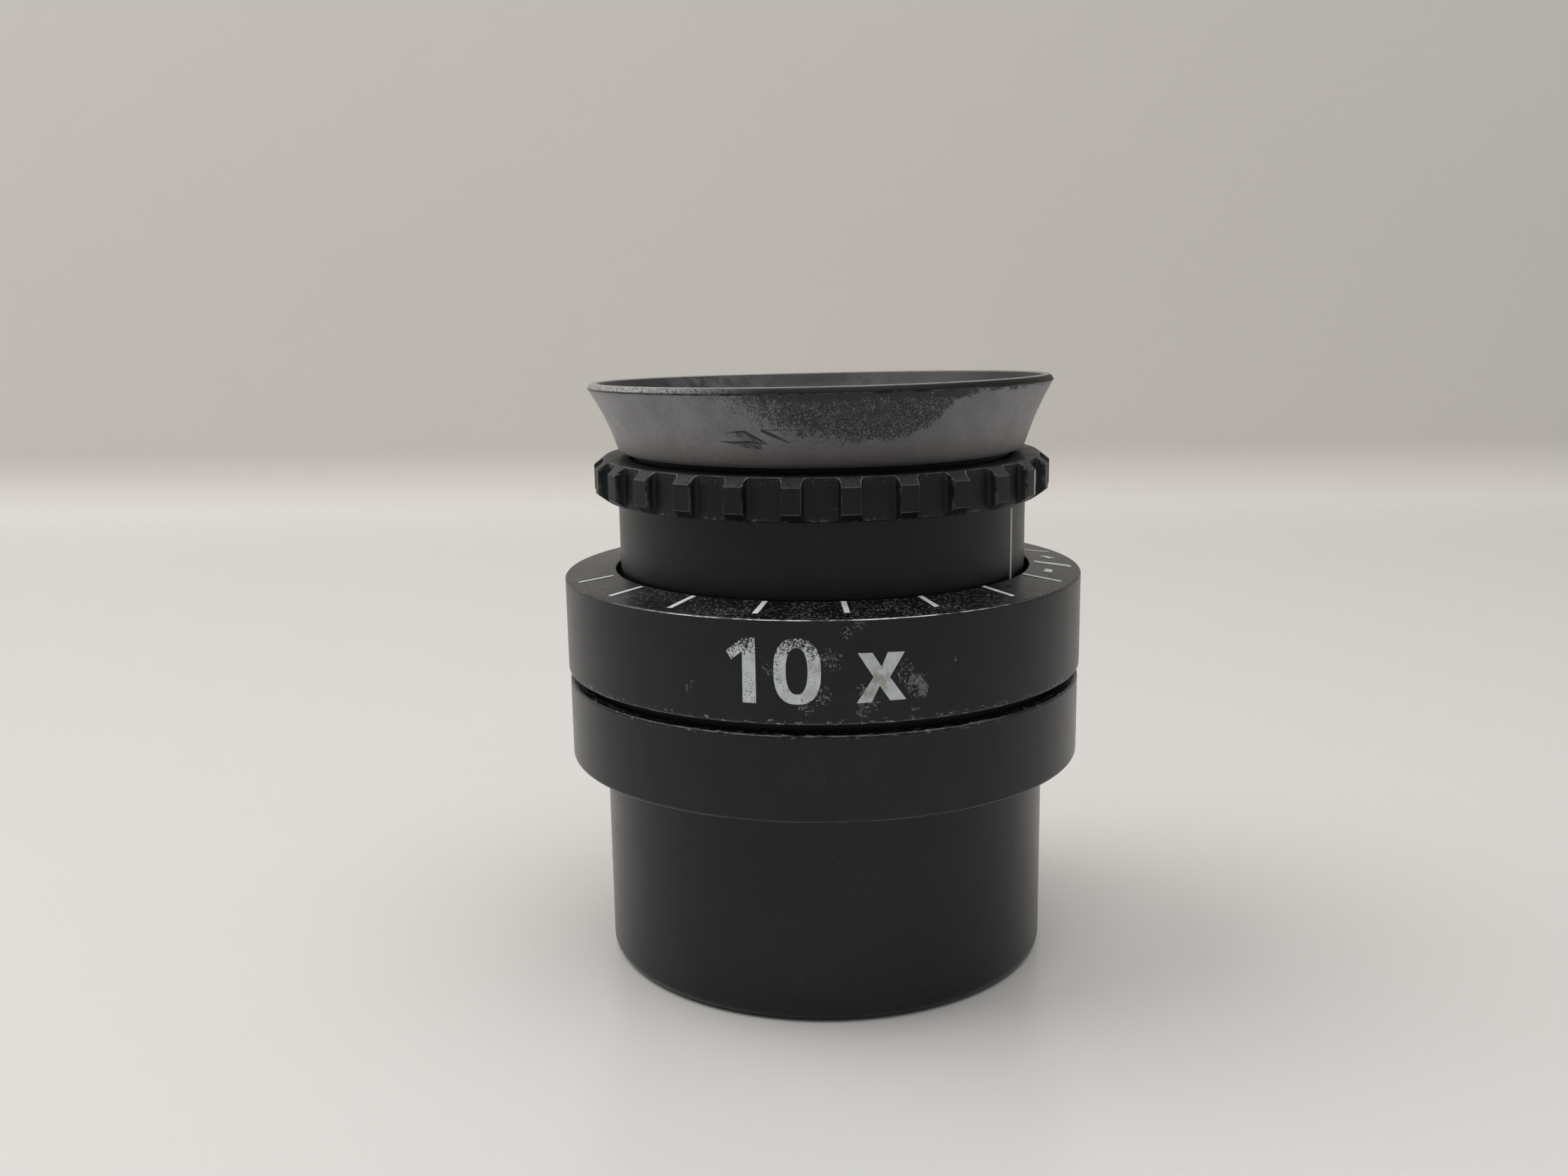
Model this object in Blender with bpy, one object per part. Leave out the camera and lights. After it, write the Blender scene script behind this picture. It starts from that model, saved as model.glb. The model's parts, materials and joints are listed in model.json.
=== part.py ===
# Stereo-microscope eyepiece, wide-field 10x, with a turning dioptre scale ring
# and a twist-up rubber eyecup.
#
# Frame: metres, +Z up along the optical axis, origin at the centre of the
# bottom rim of the mounting tube. -Y faces the reader of the scale, +X is right.
# Azimuths are degrees from +X, counter-clockwise seen from the eye side.

import bpy
import bmesh
from math import radians, sin, cos, pi, sqrt
from mathutils import Vector, Matrix

for o in list(bpy.data.objects):
    bpy.data.objects.remove(o, do_unlink=True)

MM = 0.001

# ----------------------------------------------------------------- dimensions
CLR = 0.30                # running clearance between touching pieces

# mounting tube and its shoulder
SPIGOT_R = 17.50
SPIGOT_BORE_R = 15.90
SPIGOT_H = 16.14          # rim to shoulder
FLANGE_R = 20.20
FLANGE_TOP = 22.43
POCKET_R = 19.30          # pocket in the shoulder for the cam barrel
POCKET_FLOOR = 16.90

# dioptre ring
RING_R = 20.30
RING_BOTTOM = 23.17
RING_EDGE_Z = 30.165
RING_CONE_R, RING_CONE_Z = 19.92, 30.515
RING_LIP_R, RING_LIP_Z = 16.30, 30.95
RING_INNER_R = 19.30
RING_LIP_UNDER = 29.60

# dioptre motion: -8 to +5 dioptres, resting at -1
DEG_PER_DIOPTRE = 19.4
MM_PER_DIOPTRE = 0.625    # focal length 25 mm: 25 * 25 / 1000
REST_DIOPTRE = -1.0
TURN_UP = (5.0 - REST_DIOPTRE) * DEG_PER_DIOPTRE      # clockwise, head rises
TURN_DOWN = (REST_DIOPTRE + 8.0) * DEG_PER_DIOPTRE    # counter-clockwise, head sinks
CAM_MM_PER_DEG = MM_PER_DIOPTRE / DEG_PER_DIOPTRE

# guide barrel (fixed) and cam barrel (turns with the ring)
GUIDE_BORE_R, GUIDE_R, GUIDE_TOP = 16.25, 17.20, 29.20
CAM_BORE_R, CAM_R = 17.50, 19.00
CAM_BOTTOM, CAM_TOP = 18.40, 29.20
PIN_R = 0.55
PIN_CLR_R = PIN_R + CLR
CAM_PIN_Z = 24.00
CAM_PIN_AZ = (0.0, 180.0)
CAM_GROOVE_R = 18.20
STOP_Z, STOP_AZ, STOP_GROOVE_R = 19.60, 90.0, 18.60

# sliding ocular head
SLEEVE_R = 15.93
SLEEVE_BOTTOM, SLEEVE_STEP, SLEEVE_TOP = 22.10, 30.30, 36.20
NECK_R, NECK_TOP = 13.60, 41.20
BARREL_BORE_R = 12.00
LENS_R = 11.70

# twist-up eyecup
TEETH = 27
TOOTH_PITCH = 360.0 / TEETH
TOOTH_AZ0 = -90.0 + TOOTH_PITCH / 2
TOOTH_HALF = 2.42         # degrees, half of a tooth's crest
TOOTH_FLANK = 0.75        # degrees taken by one flank
GRIP_ROOT_R, GRIP_TOOTH_R = 17.00, 17.75
GRIP_BOTTOM, GRIP_TOP = 36.52, 39.65
SKIRT_IN_R, SKIRT_R, SKIRT_BOTTOM = 13.90, 15.10, 31.50
EYECUP_LIFT = 4.60
EYECUP_TURN = 300.0
LIFT_MM_PER_DEG = EYECUP_LIFT / EYECUP_TURN
LIFT_PIN_Z, LIFT_PIN_AZ, NECK_GROOVE_R = 34.00, 120.0, 13.05
KEY_AZ = 90.0

SEG = 48                  # facets round an outer piece
SEG_IN = 36               # facets round an inner piece
SEG_LENS = 24


# -------------------------------------------------------------------- helpers
def material(name, colour, rough, metal=0.0, alpha=1.0, transmission=0.0):
    m = bpy.data.materials.new(name)
    m.use_nodes = True
    b = m.node_tree.nodes["Principled BSDF"]
    b.inputs["Base Color"].default_value = (*colour, 1.0)
    b.inputs["Roughness"].default_value = rough
    b.inputs["Metallic"].default_value = metal
    b.inputs["Alpha"].default_value = alpha
    b.inputs["Transmission Weight"].default_value = transmission
    return m


def finish(bm, name, mat, sharp=32.0):
    bmesh.ops.remove_doubles(bm, verts=bm.verts, dist=1e-7)
    bmesh.ops.recalc_face_normals(bm, faces=bm.faces)
    me = bpy.data.meshes.new(name)
    bm.to_mesh(me)
    bm.free()
    if mat:
        me.materials.append(mat)
    me.shade_smooth()
    me.set_sharp_from_angle(angle=radians(sharp))
    ob = bpy.data.objects.new(name, me)
    bpy.context.collection.objects.link(ob)
    return ob


def turned(name, profile, segs, mat, phase=0.0):
    """Solid of revolution about Z from a closed (r, z) outline in mm.
    An outline that starts and ends on the axis makes a solid plug or a lens."""
    bm = bmesh.new()
    a = radians(phase)
    vs = [bm.verts.new((r * MM * cos(a), r * MM * sin(a), z * MM)) for r, z in profile]
    edges = [bm.edges.new((vs[i], vs[i + 1])) for i in range(len(vs) - 1)]
    if profile[0][0] > 1e-9:
        edges.append(bm.edges.new((vs[-1], vs[0])))
    bmesh.ops.spin(bm, geom=vs + edges, cent=(0, 0, 0), axis=(0, 0, 1),
                   angle=2 * pi, steps=segs, use_merge=True)
    return finish(bm, name, mat)


def arc(radius, r_edge, z_edge, up, n, outward=False):
    """Points of a spherical lens face from the axis to r_edge. up = +1 domes upward."""
    pts = []
    sag_edge = radius - sqrt(radius * radius - r_edge * r_edge)
    for i in range(n + 1):
        r = r_edge * i / n
        sag = radius - sqrt(radius * radius - r * r)
        pts.append((r, z_edge + up * (sag_edge - sag)))
    return pts


def radial_rod(name, az, z, r0, r1, radius, mat, tip=None, segs=12):
    """Round rod along a radius. tip = (tip radius, where the tip ends) for a dog point."""
    prof = [(0.0, r0), (radius, r0)]
    if tip:
        prof = [(0.0, r0), (tip[0], r0), (tip[0], tip[1]), (radius, tip[1])]
    prof += [(radius, r1), (0.0, r1)]
    ob = turned(name, prof, segs, mat)
    rot = Matrix.Rotation(radians(az), 4, 'Z') @ Matrix.Rotation(radians(90), 4, 'Y')
    ob.data.transform(rot)
    ob.data.transform(Matrix.Translation((0, 0, z * MM)))
    return ob


def cutter_mark(ob):
    ob.hide_render = True
    ob.display_type = 'WIRE'
    return ob


def radial_cut(az, z, r0, r1, radius, segs=12):
    return cutter_mark(radial_rod("cut_round", az, z, r0, r1, radius, None, segs=segs))


def box_cut(az, z0, z1, r0, r1, width):
    """Box centred on an azimuth, between two radii and two heights."""
    bm = bmesh.new()
    bmesh.ops.create_cube(bm, size=1.0)
    for v in bm.verts:
        v.co = Vector(((r0 + (v.co.x + 0.5) * (r1 - r0)) * MM,
                       v.co.y * width * MM,
                       (z0 + (v.co.z + 0.5) * (z1 - z0)) * MM))
    ob = finish(bm, "cut_box", None)
    ob.data.transform(Matrix.Rotation(radians(az), 4, 'Z'))
    return cutter_mark(ob)


def sweep_cut(r0, r1, az0, az1, z0, z1, half, steps):
    """Curved bar following a helix (or a circle if z0 == z1), to cut a groove."""
    bm = bmesh.new()
    rings = []
    for i in range(steps + 1):
        t = i / steps
        a = radians(az0 + (az1 - az0) * t)
        z = z0 + (z1 - z0) * t
        rings.append([bm.verts.new((r * MM * cos(a), r * MM * sin(a), (z + dz) * MM))
                      for r, dz in ((r0, -half), (r1, -half), (r1, half), (r0, half))])
    for a, b in zip(rings, rings[1:]):
        for k in range(4):
            bm.faces.new((a[k], a[(k + 1) % 4], b[(k + 1) % 4], b[k]))
    bm.faces.new(rings[0])
    bm.faces.new(rings[-1])
    return cutter_mark(finish(bm, "cut_sweep", None))


def boolean(ob, other, op='DIFFERENCE'):
    m = ob.modifiers.new(op.lower(), 'BOOLEAN')
    m.operation = op
    m.solver = 'EXACT'
    m.object = other
    cutter_mark(other)


def parent(obs, pivot):
    for ob in obs:
        ob.parent = pivot


def empty(name):
    e = bpy.data.objects.new(name, None)
    e.empty_display_size = 0.005
    bpy.context.collection.objects.link(e)
    return e


BLACK_SATIN = (0.018, 0.018, 0.020)
BLACK_MATT = (0.010, 0.010, 0.011)

# ------------------------------------------------------- fixed: mounting tube
mount_tube = turned("mount_tube", [
    (SPIGOT_BORE_R + 0.2, 0.0), (16.85, 0.0), (17.28, 0.20), (SPIGOT_R, 0.75),
    (SPIGOT_R, SPIGOT_H),
    (FLANGE_R - 0.30, SPIGOT_H), (FLANGE_R, SPIGOT_H + 0.30),
    (FLANGE_R, FLANGE_TOP - 0.25), (FLANGE_R - 0.25, FLANGE_TOP),
    (POCKET_R, FLANGE_TOP), (POCKET_R, POCKET_FLOOR),
    (SPIGOT_BORE_R, POCKET_FLOOR), (SPIGOT_BORE_R, 0.2)], SEG,
    material("mount_tube", BLACK_SATIN, 0.42, 0.3))
boolean(mount_tube, radial_cut(STOP_AZ, STOP_Z, POCKET_R - 0.6, FLANGE_R + 0.6, 1.20))

guide_barrel = turned("guide_barrel", [
    (14.50, 10.50), (15.60, 10.50), (15.60, 17.20), (18.80, 17.20), (18.80, 18.10),
    (GUIDE_R, 18.10), (GUIDE_R, GUIDE_TOP), (GUIDE_BORE_R, GUIDE_TOP),
    (GUIDE_BORE_R, 17.40), (14.50, 17.40)], SEG_IN,
    material("guide_barrel", BLACK_MATT, 0.6, 0.2))
for az in CAM_PIN_AZ:
    boolean(guide_barrel, box_cut(
        az, CAM_PIN_Z - TURN_DOWN * CAM_MM_PER_DEG - PIN_R - 0.40,
        CAM_PIN_Z + TURN_UP * CAM_MM_PER_DEG + PIN_R + 0.40,
        GUIDE_BORE_R - 0.8, GUIDE_R + 0.8, 2 * PIN_CLR_R))

guide_lock_ring = turned("guide_lock_ring", [
    (13.80, 8.20), (15.60, 8.20), (15.60, 10.20), (13.80, 10.20)], SEG_IN,
    material("guide_lock_ring", BLACK_MATT, 0.6, 0.2))

field_stop = turned("field_stop", [
    (11.00, 6.10), (11.30, 5.90), (15.60, 5.90), (15.60, 7.90), (14.40, 7.90),
    (14.40, 6.80), (11.30, 6.60), (11.00, 6.30)], SEG_IN,
    material("field_stop", BLACK_MATT, 0.7, 0.1))

field_stop_retainer = turned("field_stop_retainer", [
    (13.60, 3.60), (15.60, 3.60), (15.60, 5.60), (13.60, 5.60)], SEG_IN,
    material("field_stop_retainer", BLACK_MATT, 0.55, 0.2))
for az in (0.0, 180.0):
    boolean(field_stop_retainer, box_cut(az, 3.20, 4.40, 13.0, 16.2, 1.30))

stop_screw = radial_rod("stop_screw", STOP_AZ, STOP_Z, STOP_GROOVE_R + 0.15, 20.05, 0.90,
                        material("stop_screw", (0.30, 0.30, 0.31), 0.35, 1.0),
                        tip=(0.50, 19.45))
boolean(stop_screw, box_cut(STOP_AZ, STOP_Z - 0.13, STOP_Z + 0.13, 19.75, 20.6, 2.4))

# ------------------------------------------------- turning: dioptre scale ring
diopter_ring = turned("diopter_ring", [
    (RING_INNER_R, RING_BOTTOM), (RING_R - 0.25, RING_BOTTOM), (RING_R, RING_BOTTOM + 0.25),
    (RING_R, RING_EDGE_Z), (RING_CONE_R, RING_CONE_Z), (RING_LIP_R + 0.15, RING_LIP_Z),
    (RING_LIP_R, RING_LIP_Z - 0.15), (RING_LIP_R, RING_LIP_UNDER),
    (RING_INNER_R, RING_LIP_UNDER)], SEG,
    material("diopter_ring", BLACK_SATIN, 0.36, 0.3))

cam_barrel = turned("cam_barrel", [
    (CAM_BORE_R, CAM_BOTTOM), (CAM_R, CAM_BOTTOM), (CAM_R, CAM_TOP), (CAM_BORE_R, CAM_TOP)],
    SEG_IN, material("cam_barrel", (0.55, 0.40, 0.16), 0.35, 1.0))
for az in CAM_PIN_AZ:     # two helical grooves, one for each cam pin
    boolean(cam_barrel, sweep_cut(
        CAM_BORE_R - 0.8, CAM_GROOVE_R, az - TURN_DOWN - 3.0, az + TURN_UP + 3.0,
        CAM_PIN_Z - (TURN_DOWN + 3.0) * CAM_MM_PER_DEG,
        CAM_PIN_Z + (TURN_UP + 3.0) * CAM_MM_PER_DEG, PIN_CLR_R, 42))
# groove for the stop screw: its two ends are the ends of the scale
boolean(cam_barrel, sweep_cut(
    STOP_GROOVE_R, CAM_R + 0.8, STOP_AZ - TURN_DOWN - 2.6, STOP_AZ + TURN_UP + 2.6,
    STOP_Z, STOP_Z, 0.80, 40))

ring_screw_objects = []
for i, az in enumerate((45.0, 135.0), 1):
    s = radial_rod("ring_screw_%d" % i, az, 26.40, 18.85, 20.05, 0.80,
                   material("ring_screw_%d" % i, (0.30, 0.30, 0.31), 0.35, 1.0))
    boolean(s, box_cut(az, 26.40 - 0.13, 26.40 + 0.13, 19.75, 20.6, 2.4))
    boolean(diopter_ring, radial_cut(az, 26.40, RING_INNER_R - 0.6, RING_R + 0.6, 1.10))
    boolean(cam_barrel, radial_cut(az, 26.40, 18.62, CAM_R + 0.6, 1.10))
    ring_screw_objects.append(s)

# ------------------------------------------------------- sliding: ocular head
ocular_sleeve = turned("ocular_sleeve", [
    (14.90, SLEEVE_BOTTOM), (SLEEVE_R - 0.2, SLEEVE_BOTTOM), (SLEEVE_R, SLEEVE_BOTTOM + 0.2),
    (SLEEVE_R, SLEEVE_TOP - 0.12), (SLEEVE_R - 0.12, SLEEVE_TOP), (15.40, SLEEVE_TOP),
    (15.40, SLEEVE_STEP), (14.90, SLEEVE_STEP)], SEG,
    material("ocular_sleeve", BLACK_SATIN, 0.45, 0.3))

optics_barrel = turned("optics_barrel", [
    (BARREL_BORE_R, 18.00), (14.10, 18.00), (14.10, 22.25), (14.60, 22.25),
    (14.60, 30.15), (NECK_R, 30.15), (NECK_R, NECK_TOP - 0.2), (NECK_R - 0.2, NECK_TOP),
    (12.70, NECK_TOP), (12.70, 39.60), (BARREL_BORE_R, 39.60)], SEG_IN,
    material("optics_barrel", BLACK_MATT, 0.5, 0.2))
boolean(optics_barrel, sweep_cut(      # helical lift groove round the neck
    NECK_GROOVE_R, NECK_R + 0.8, LIFT_PIN_AZ - 3.0, LIFT_PIN_AZ + EYECUP_TURN + 3.0,
    LIFT_PIN_Z - 3.0 * LIFT_MM_PER_DEG, LIFT_PIN_Z + (EYECUP_TURN + 3.0) * LIFT_MM_PER_DEG,
    PIN_CLR_R, 48))
boolean(optics_barrel, box_cut(        # straight slot for the guide ring's key
    KEY_AZ, 31.20, 32.50 + EYECUP_LIFT + 0.40, NECK_GROOVE_R, NECK_R + 0.8, 2.00))

cam_pin_objects = []
for i, az in enumerate(CAM_PIN_AZ, 1):
    boolean(ocular_sleeve, radial_cut(az, CAM_PIN_Z, 14.2, SLEEVE_R + 0.6, PIN_CLR_R))
    cam_pin_objects.append(radial_rod(
        "cam_pin_%d" % i, az, CAM_PIN_Z, 15.00, CAM_GROOVE_R - 0.27, PIN_R,
        material("cam_pin_%d" % i, (0.45, 0.45, 0.46), 0.3, 1.0)))

glass = dict(colour=(0.55, 0.62, 0.66), rough=0.03, alpha=0.35, transmission=0.9)


def lens(name, bottom, top):
    """bottom and top are (radius of curvature, edge height, dome direction)."""
    lo = arc(bottom[0], LENS_R, bottom[1], bottom[2], 4) if bottom[0] else [(0.0, bottom[1]), (LENS_R, bottom[1])]
    hi = arc(top[0], LENS_R, top[1], top[2], 4) if top[0] else [(0.0, top[1]), (LENS_R, top[1])]
    return turned(name, lo + hi[::-1], SEG_LENS, material(name, **glass))


eye_lens = lens("eye_lens", (38.0, 37.60, -1), (90.0, 39.60, +1))
upper_crown = lens("upper_doublet_crown", (30.0, 33.00, -1), (45.0, 33.80, +1))
upper_flint = lens("upper_doublet_flint", (None, 28.60, 0), (30.0, 32.70, -1))
lower_crown = lens("lower_doublet_crown", (34.0, 23.50, -1), (60.0, 24.40, +1))
lower_flint = lens("lower_doublet_flint", (None, 20.00, 0), (34.0, 23.20, -1))

upper_spacer = turned("upper_spacer", [
    (11.10, 34.25), (LENS_R, 34.25), (LENS_R, 37.15), (11.10, 37.15)], SEG_IN,
    material("upper_spacer", BLACK_MATT, 0.7, 0.1))
lower_spacer = turned("lower_spacer", [
    (10.70, 24.75), (LENS_R, 24.75), (LENS_R, 28.30), (10.70, 28.30)], SEG_IN,
    material("lower_spacer", BLACK_MATT, 0.7, 0.1))
field_lens_retainer = turned("field_lens_retainer", [
    (10.40, 18.10), (LENS_R, 18.10), (LENS_R, 19.70), (10.40, 19.70)], SEG_IN,
    material("field_lens_retainer", BLACK_MATT, 0.6, 0.2))
eye_lens_retainer = turned("eye_lens_retainer", [
    (11.00, 40.00), (12.40, 39.90), (12.40, 41.05), (11.50, 41.05), (11.00, 40.60)], SEG_IN,
    material("eye_lens_retainer", BLACK_MATT, 0.45, 0.2))
for az in (0.0, 180.0):
    boolean(eye_lens_retainer, box_cut(az, 40.55, 41.6, 10.5, 13.0, 1.20))

# --------------------------------- sliding, keyed: guide ring of the eyecup
guide_ring = turned("eyecup_guide_ring", [
    (SKIRT_IN_R, 31.50), (14.45, 31.50), (14.45, 32.50), (SKIRT_IN_R, 32.50)], SEG_IN,
    material("eyecup_guide_ring", (0.75, 0.73, 0.68), 0.45))
boolean(guide_ring, box_cut(KEY_AZ, 31.65, 32.35, NECK_GROOVE_R + 0.15, 14.20, 1.40), 'UNION')

# ------------------------------------------------ turning: grip and eyecup
def grip_body():
    """Turned ring whose middle band steps out to a crest at each tooth."""
    fixed_in = [(14.75, SKIRT_BOTTOM), (SKIRT_R, SKIRT_BOTTOM), (SKIRT_R, GRIP_BOTTOM),
                (16.88, GRIP_BOTTOM), (GRIP_ROOT_R, 36.62)]
    fixed_out = [(GRIP_ROOT_R, 39.55), (16.88, GRIP_TOP), (15.00, GRIP_TOP), (15.00, 38.20),
                 (SKIRT_IN_R, 38.20), (SKIRT_IN_R, 32.80), (14.75, 32.80)]
    stations = []
    for k in range(TEETH):
        c = TOOTH_AZ0 + k * TOOTH_PITCH
        stations += [(c - TOOTH_HALF - TOOTH_FLANK, GRIP_ROOT_R), (c - TOOTH_HALF, GRIP_TOOTH_R),
                     (c + TOOTH_HALF, GRIP_TOOTH_R), (c + TOOTH_HALF + TOOTH_FLANK, GRIP_ROOT_R)]
    bm = bmesh.new()
    rings = []
    for az, r in stations:
        a = radians(az)
        prof = fixed_in + [(r, 37.12), (r, 39.00)] + fixed_out
        rings.append([bm.verts.new((p * MM * cos(a), p * MM * sin(a), z * MM)) for p, z in prof])
    n = len(rings[0])
    for i in range(len(rings)):
        a, b = rings[i], rings[(i + 1) % len(rings)]
        for k in range(n):
            bm.faces.new((a[k], b[k], b[(k + 1) % n], a[(k + 1) % n]))
    return bm


grip_ring = finish(grip_body(), "grip_ring", material("grip_ring", BLACK_MATT, 0.5), 20.0)
boolean(grip_ring, radial_cut(LIFT_PIN_AZ, LIFT_PIN_Z, SKIRT_IN_R - 0.6, SKIRT_R + 0.6, PIN_CLR_R))

lift_pin = radial_rod("lift_pin", LIFT_PIN_AZ, LIFT_PIN_Z, NECK_GROOVE_R + 0.20, 14.95, PIN_R,
                      material("lift_pin", (0.45, 0.45, 0.46), 0.3, 1.0))

skirt_end_ring = turned("skirt_end_ring", [
    (SKIRT_IN_R, 30.55), (SKIRT_R, 30.55), (SKIRT_R, 31.20), (SKIRT_IN_R, 31.20)], SEG_IN,
    material("skirt_end_ring", BLACK_MATT, 0.5))

eyecup_hub = turned("eyecup_hub", [
    (SKIRT_IN_R, 38.50), (14.70, 38.50), (14.70, 41.60), (15.30, 41.60), (15.30, 42.20),
    (SKIRT_IN_R, 42.20)], SEG_IN, material("eyecup_hub", BLACK_MATT, 0.5))

eyecup = turned("eyecup", [
    (15.05, 40.05), (15.50, 40.05), (15.80, 40.25), (16.20, 41.30), (16.85, 43.00),
    (17.37, 44.05), (17.98, 45.00), (18.12, 45.35), (18.10, 45.60), (17.85, 45.80), (17.40, 45.78),
    (17.12, 45.50), (16.50, 44.45), (15.40, 43.45), (14.40, 43.00), (14.15, 42.80), (14.15, 42.50),
    (15.60, 42.50), (15.60, 41.30), (15.05, 41.30)], SEG,
    material("eyecup", (0.035, 0.035, 0.037), 0.75))

# ---------------------------------------------------- pivots, all on the axis
diopter_pivot = empty("diopter_turn_pivot")
ocular_pivot = empty("ocular_slide_pivot")
carriage_pivot = empty("eyecup_slide_pivot")
eyecup_pivot = empty("eyecup_turn_pivot")
carriage_pivot.parent = ocular_pivot
eyecup_pivot.parent = carriage_pivot
parent([diopter_ring, cam_barrel] + ring_screw_objects, diopter_pivot)
parent([ocular_sleeve, optics_barrel, eye_lens, upper_crown, upper_flint, lower_crown,
        lower_flint, upper_spacer, lower_spacer, field_lens_retainer, eye_lens_retainer]
       + cam_pin_objects, ocular_pivot)
parent([guide_ring], carriage_pivot)
parent([grip_ring, lift_pin, skirt_end_ring, eyecup_hub, eyecup], eyecup_pivot)
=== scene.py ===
import json
import random
from math import radians, degrees, sin, cos, tan, atan2, sqrt, pi, exp, floor

import bpy
import bmesh
from mathutils import Vector, Matrix, noise


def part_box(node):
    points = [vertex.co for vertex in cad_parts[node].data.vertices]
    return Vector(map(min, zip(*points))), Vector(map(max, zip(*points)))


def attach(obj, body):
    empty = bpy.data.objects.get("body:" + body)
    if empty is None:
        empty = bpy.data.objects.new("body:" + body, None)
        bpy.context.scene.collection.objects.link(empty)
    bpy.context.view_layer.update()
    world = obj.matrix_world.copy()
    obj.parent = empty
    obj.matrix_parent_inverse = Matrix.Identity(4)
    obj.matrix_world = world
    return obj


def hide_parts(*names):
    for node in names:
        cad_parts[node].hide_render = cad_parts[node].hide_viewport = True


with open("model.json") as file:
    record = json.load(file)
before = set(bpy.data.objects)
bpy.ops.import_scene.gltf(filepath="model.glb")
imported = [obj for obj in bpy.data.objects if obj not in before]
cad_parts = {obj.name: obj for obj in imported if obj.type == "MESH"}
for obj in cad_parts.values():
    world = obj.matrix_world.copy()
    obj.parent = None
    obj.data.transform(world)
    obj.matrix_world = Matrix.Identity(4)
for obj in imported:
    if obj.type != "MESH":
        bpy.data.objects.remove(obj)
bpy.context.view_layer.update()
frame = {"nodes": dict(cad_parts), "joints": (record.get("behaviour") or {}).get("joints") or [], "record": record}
NODES = frame["nodes"]
MM = 0.001


def top_mm(node):
    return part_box(node)[1].z * 1000


def bottom_mm(node):
    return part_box(node)[0].z * 1000


def radius_mm(node):
    lo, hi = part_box(node)
    return max(hi.x, hi.y, -lo.x, -lo.y) * 1000


# heights and radii that the frame gives (mm)
FLANGE_R, FLANGE_TOP = radius_mm("mount_tube"), top_mm("mount_tube")
RING_R, RING_BOT, RING_TOP = radius_mm("diopter_ring"), bottom_mm("diopter_ring"), top_mm("diopter_ring")
SLEEVE_R, SLEEVE_BOT, SLEEVE_TOP = radius_mm("ocular_sleeve"), bottom_mm("ocular_sleeve"), top_mm("ocular_sleeve")
GRIP_BOT, GRIP_TOP, TOOTH_R = 36.52, top_mm("grip_ring"), 17.75      # GRIP_BOT: under the teeth, above the skirt
CUP_BOT, CUP_TOP, CUP_R = bottom_mm("eyecup"), top_mm("eyecup"), radius_mm("eyecup")
SEAT_Z = [m["pos_m"][2] for m in frame["record"]["mounts"] if m["name"] == "tube_seat"][0] * 1000
SPIGOT_R = 17.5
CONE = ((19.92, 30.515), (16.45, 30.95))        # the scale face, outer and inner edge
TEETH, PITCH = 27, 360.0 / 27
TOOTH_AZ0 = -90.0 + PITCH / 2


# ------------------------------------------------------------------ mesh tools
def rounded(points, support=0.03):
    """Closed outline with filleted corners. points are (r, z) or (r, z, fillet, steps).
    Short support spans keep flat faces flat when smooth-shaded."""
    n = len(points)
    out = []
    for i, p in enumerate(points):
        x, y = p[0], p[1]
        rad = p[2] if len(p) > 2 else 0.0
        steps = p[3] if len(p) > 3 else 5
        if rad <= 0:
            out.append((x, y, True))
            continue
        a, b = Vector(points[i - 1][:2]), Vector(points[(i + 1) % n][:2])
        c = Vector((x, y))
        u, v = (a - c).normalized(), (b - c).normalized()
        ang = u.angle(v)
        d = rad / tan(ang / 2)
        centre = c + (u + v).normalized() * (rad / sin(ang / 2))
        p0, p1 = c + u * d, c + v * d
        a0, a1 = atan2(p0.y - centre.y, p0.x - centre.x), atan2(p1.y - centre.y, p1.x - centre.x)
        while a1 - a0 > pi:
            a1 -= 2 * pi
        while a1 - a0 < -pi:
            a1 += 2 * pi
        for k in range(steps + 1):
            t = a0 + (a1 - a0) * k / steps
            out.append((centre.x + rad * cos(t), centre.y + rad * sin(t), False))
    pts = []
    m = len(out)
    for i in range(m):
        a, b = Vector(out[i][:2]), Vector(out[(i + 1) % m][:2])
        pts.append(tuple(a))
        L = (b - a).length
        if L > 0.35:
            pts.append(tuple(a + (b - a) * (support / L)))
            if L > 3.0:                      # long walls get a few rows of their own
                k = int(L / 1.5)
                for j in range(1, k):
                    pts.append(tuple(a + (b - a) * (j / k)))
            pts.append(tuple(b - (b - a) * (support / L)))
    return pts


def mesh_object(name, verts, faces, sharp=35.0):
    me = bpy.data.meshes.new(name)
    me.from_pydata(verts, [], faces)
    me.validate()
    bm = bmesh.new()
    bm.from_mesh(me)
    bmesh.ops.recalc_face_normals(bm, faces=bm.faces)
    bm.to_mesh(me)
    bm.free()
    me.shade_smooth()
    me.set_sharp_from_angle(angle=radians(sharp))
    ob = bpy.data.objects.new(name, me)
    bpy.context.scene.collection.objects.link(ob)
    return ob


def turned(name, outline, segs=224, move=None, sharp=35.0):
    """Ring turned about Z from a closed (r, z) outline in mm. move(az, r, z) may nudge a point."""
    verts, faces = [], []
    n = len(outline)
    for i in range(segs):
        az = 2 * pi * i / segs - pi / 2
        for r, z in outline:
            if move:
                r, z = move(az, r, z)
            verts.append((r * MM * cos(az), r * MM * sin(az), z * MM))
    for i in range(segs):
        a, b = i * n, ((i + 1) % segs) * n
        for k in range(n):
            k2 = (k + 1) % n
            faces.append((a + k, b + k, b + k2, a + k2))
    return mesh_object(name, verts, faces, sharp)


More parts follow.
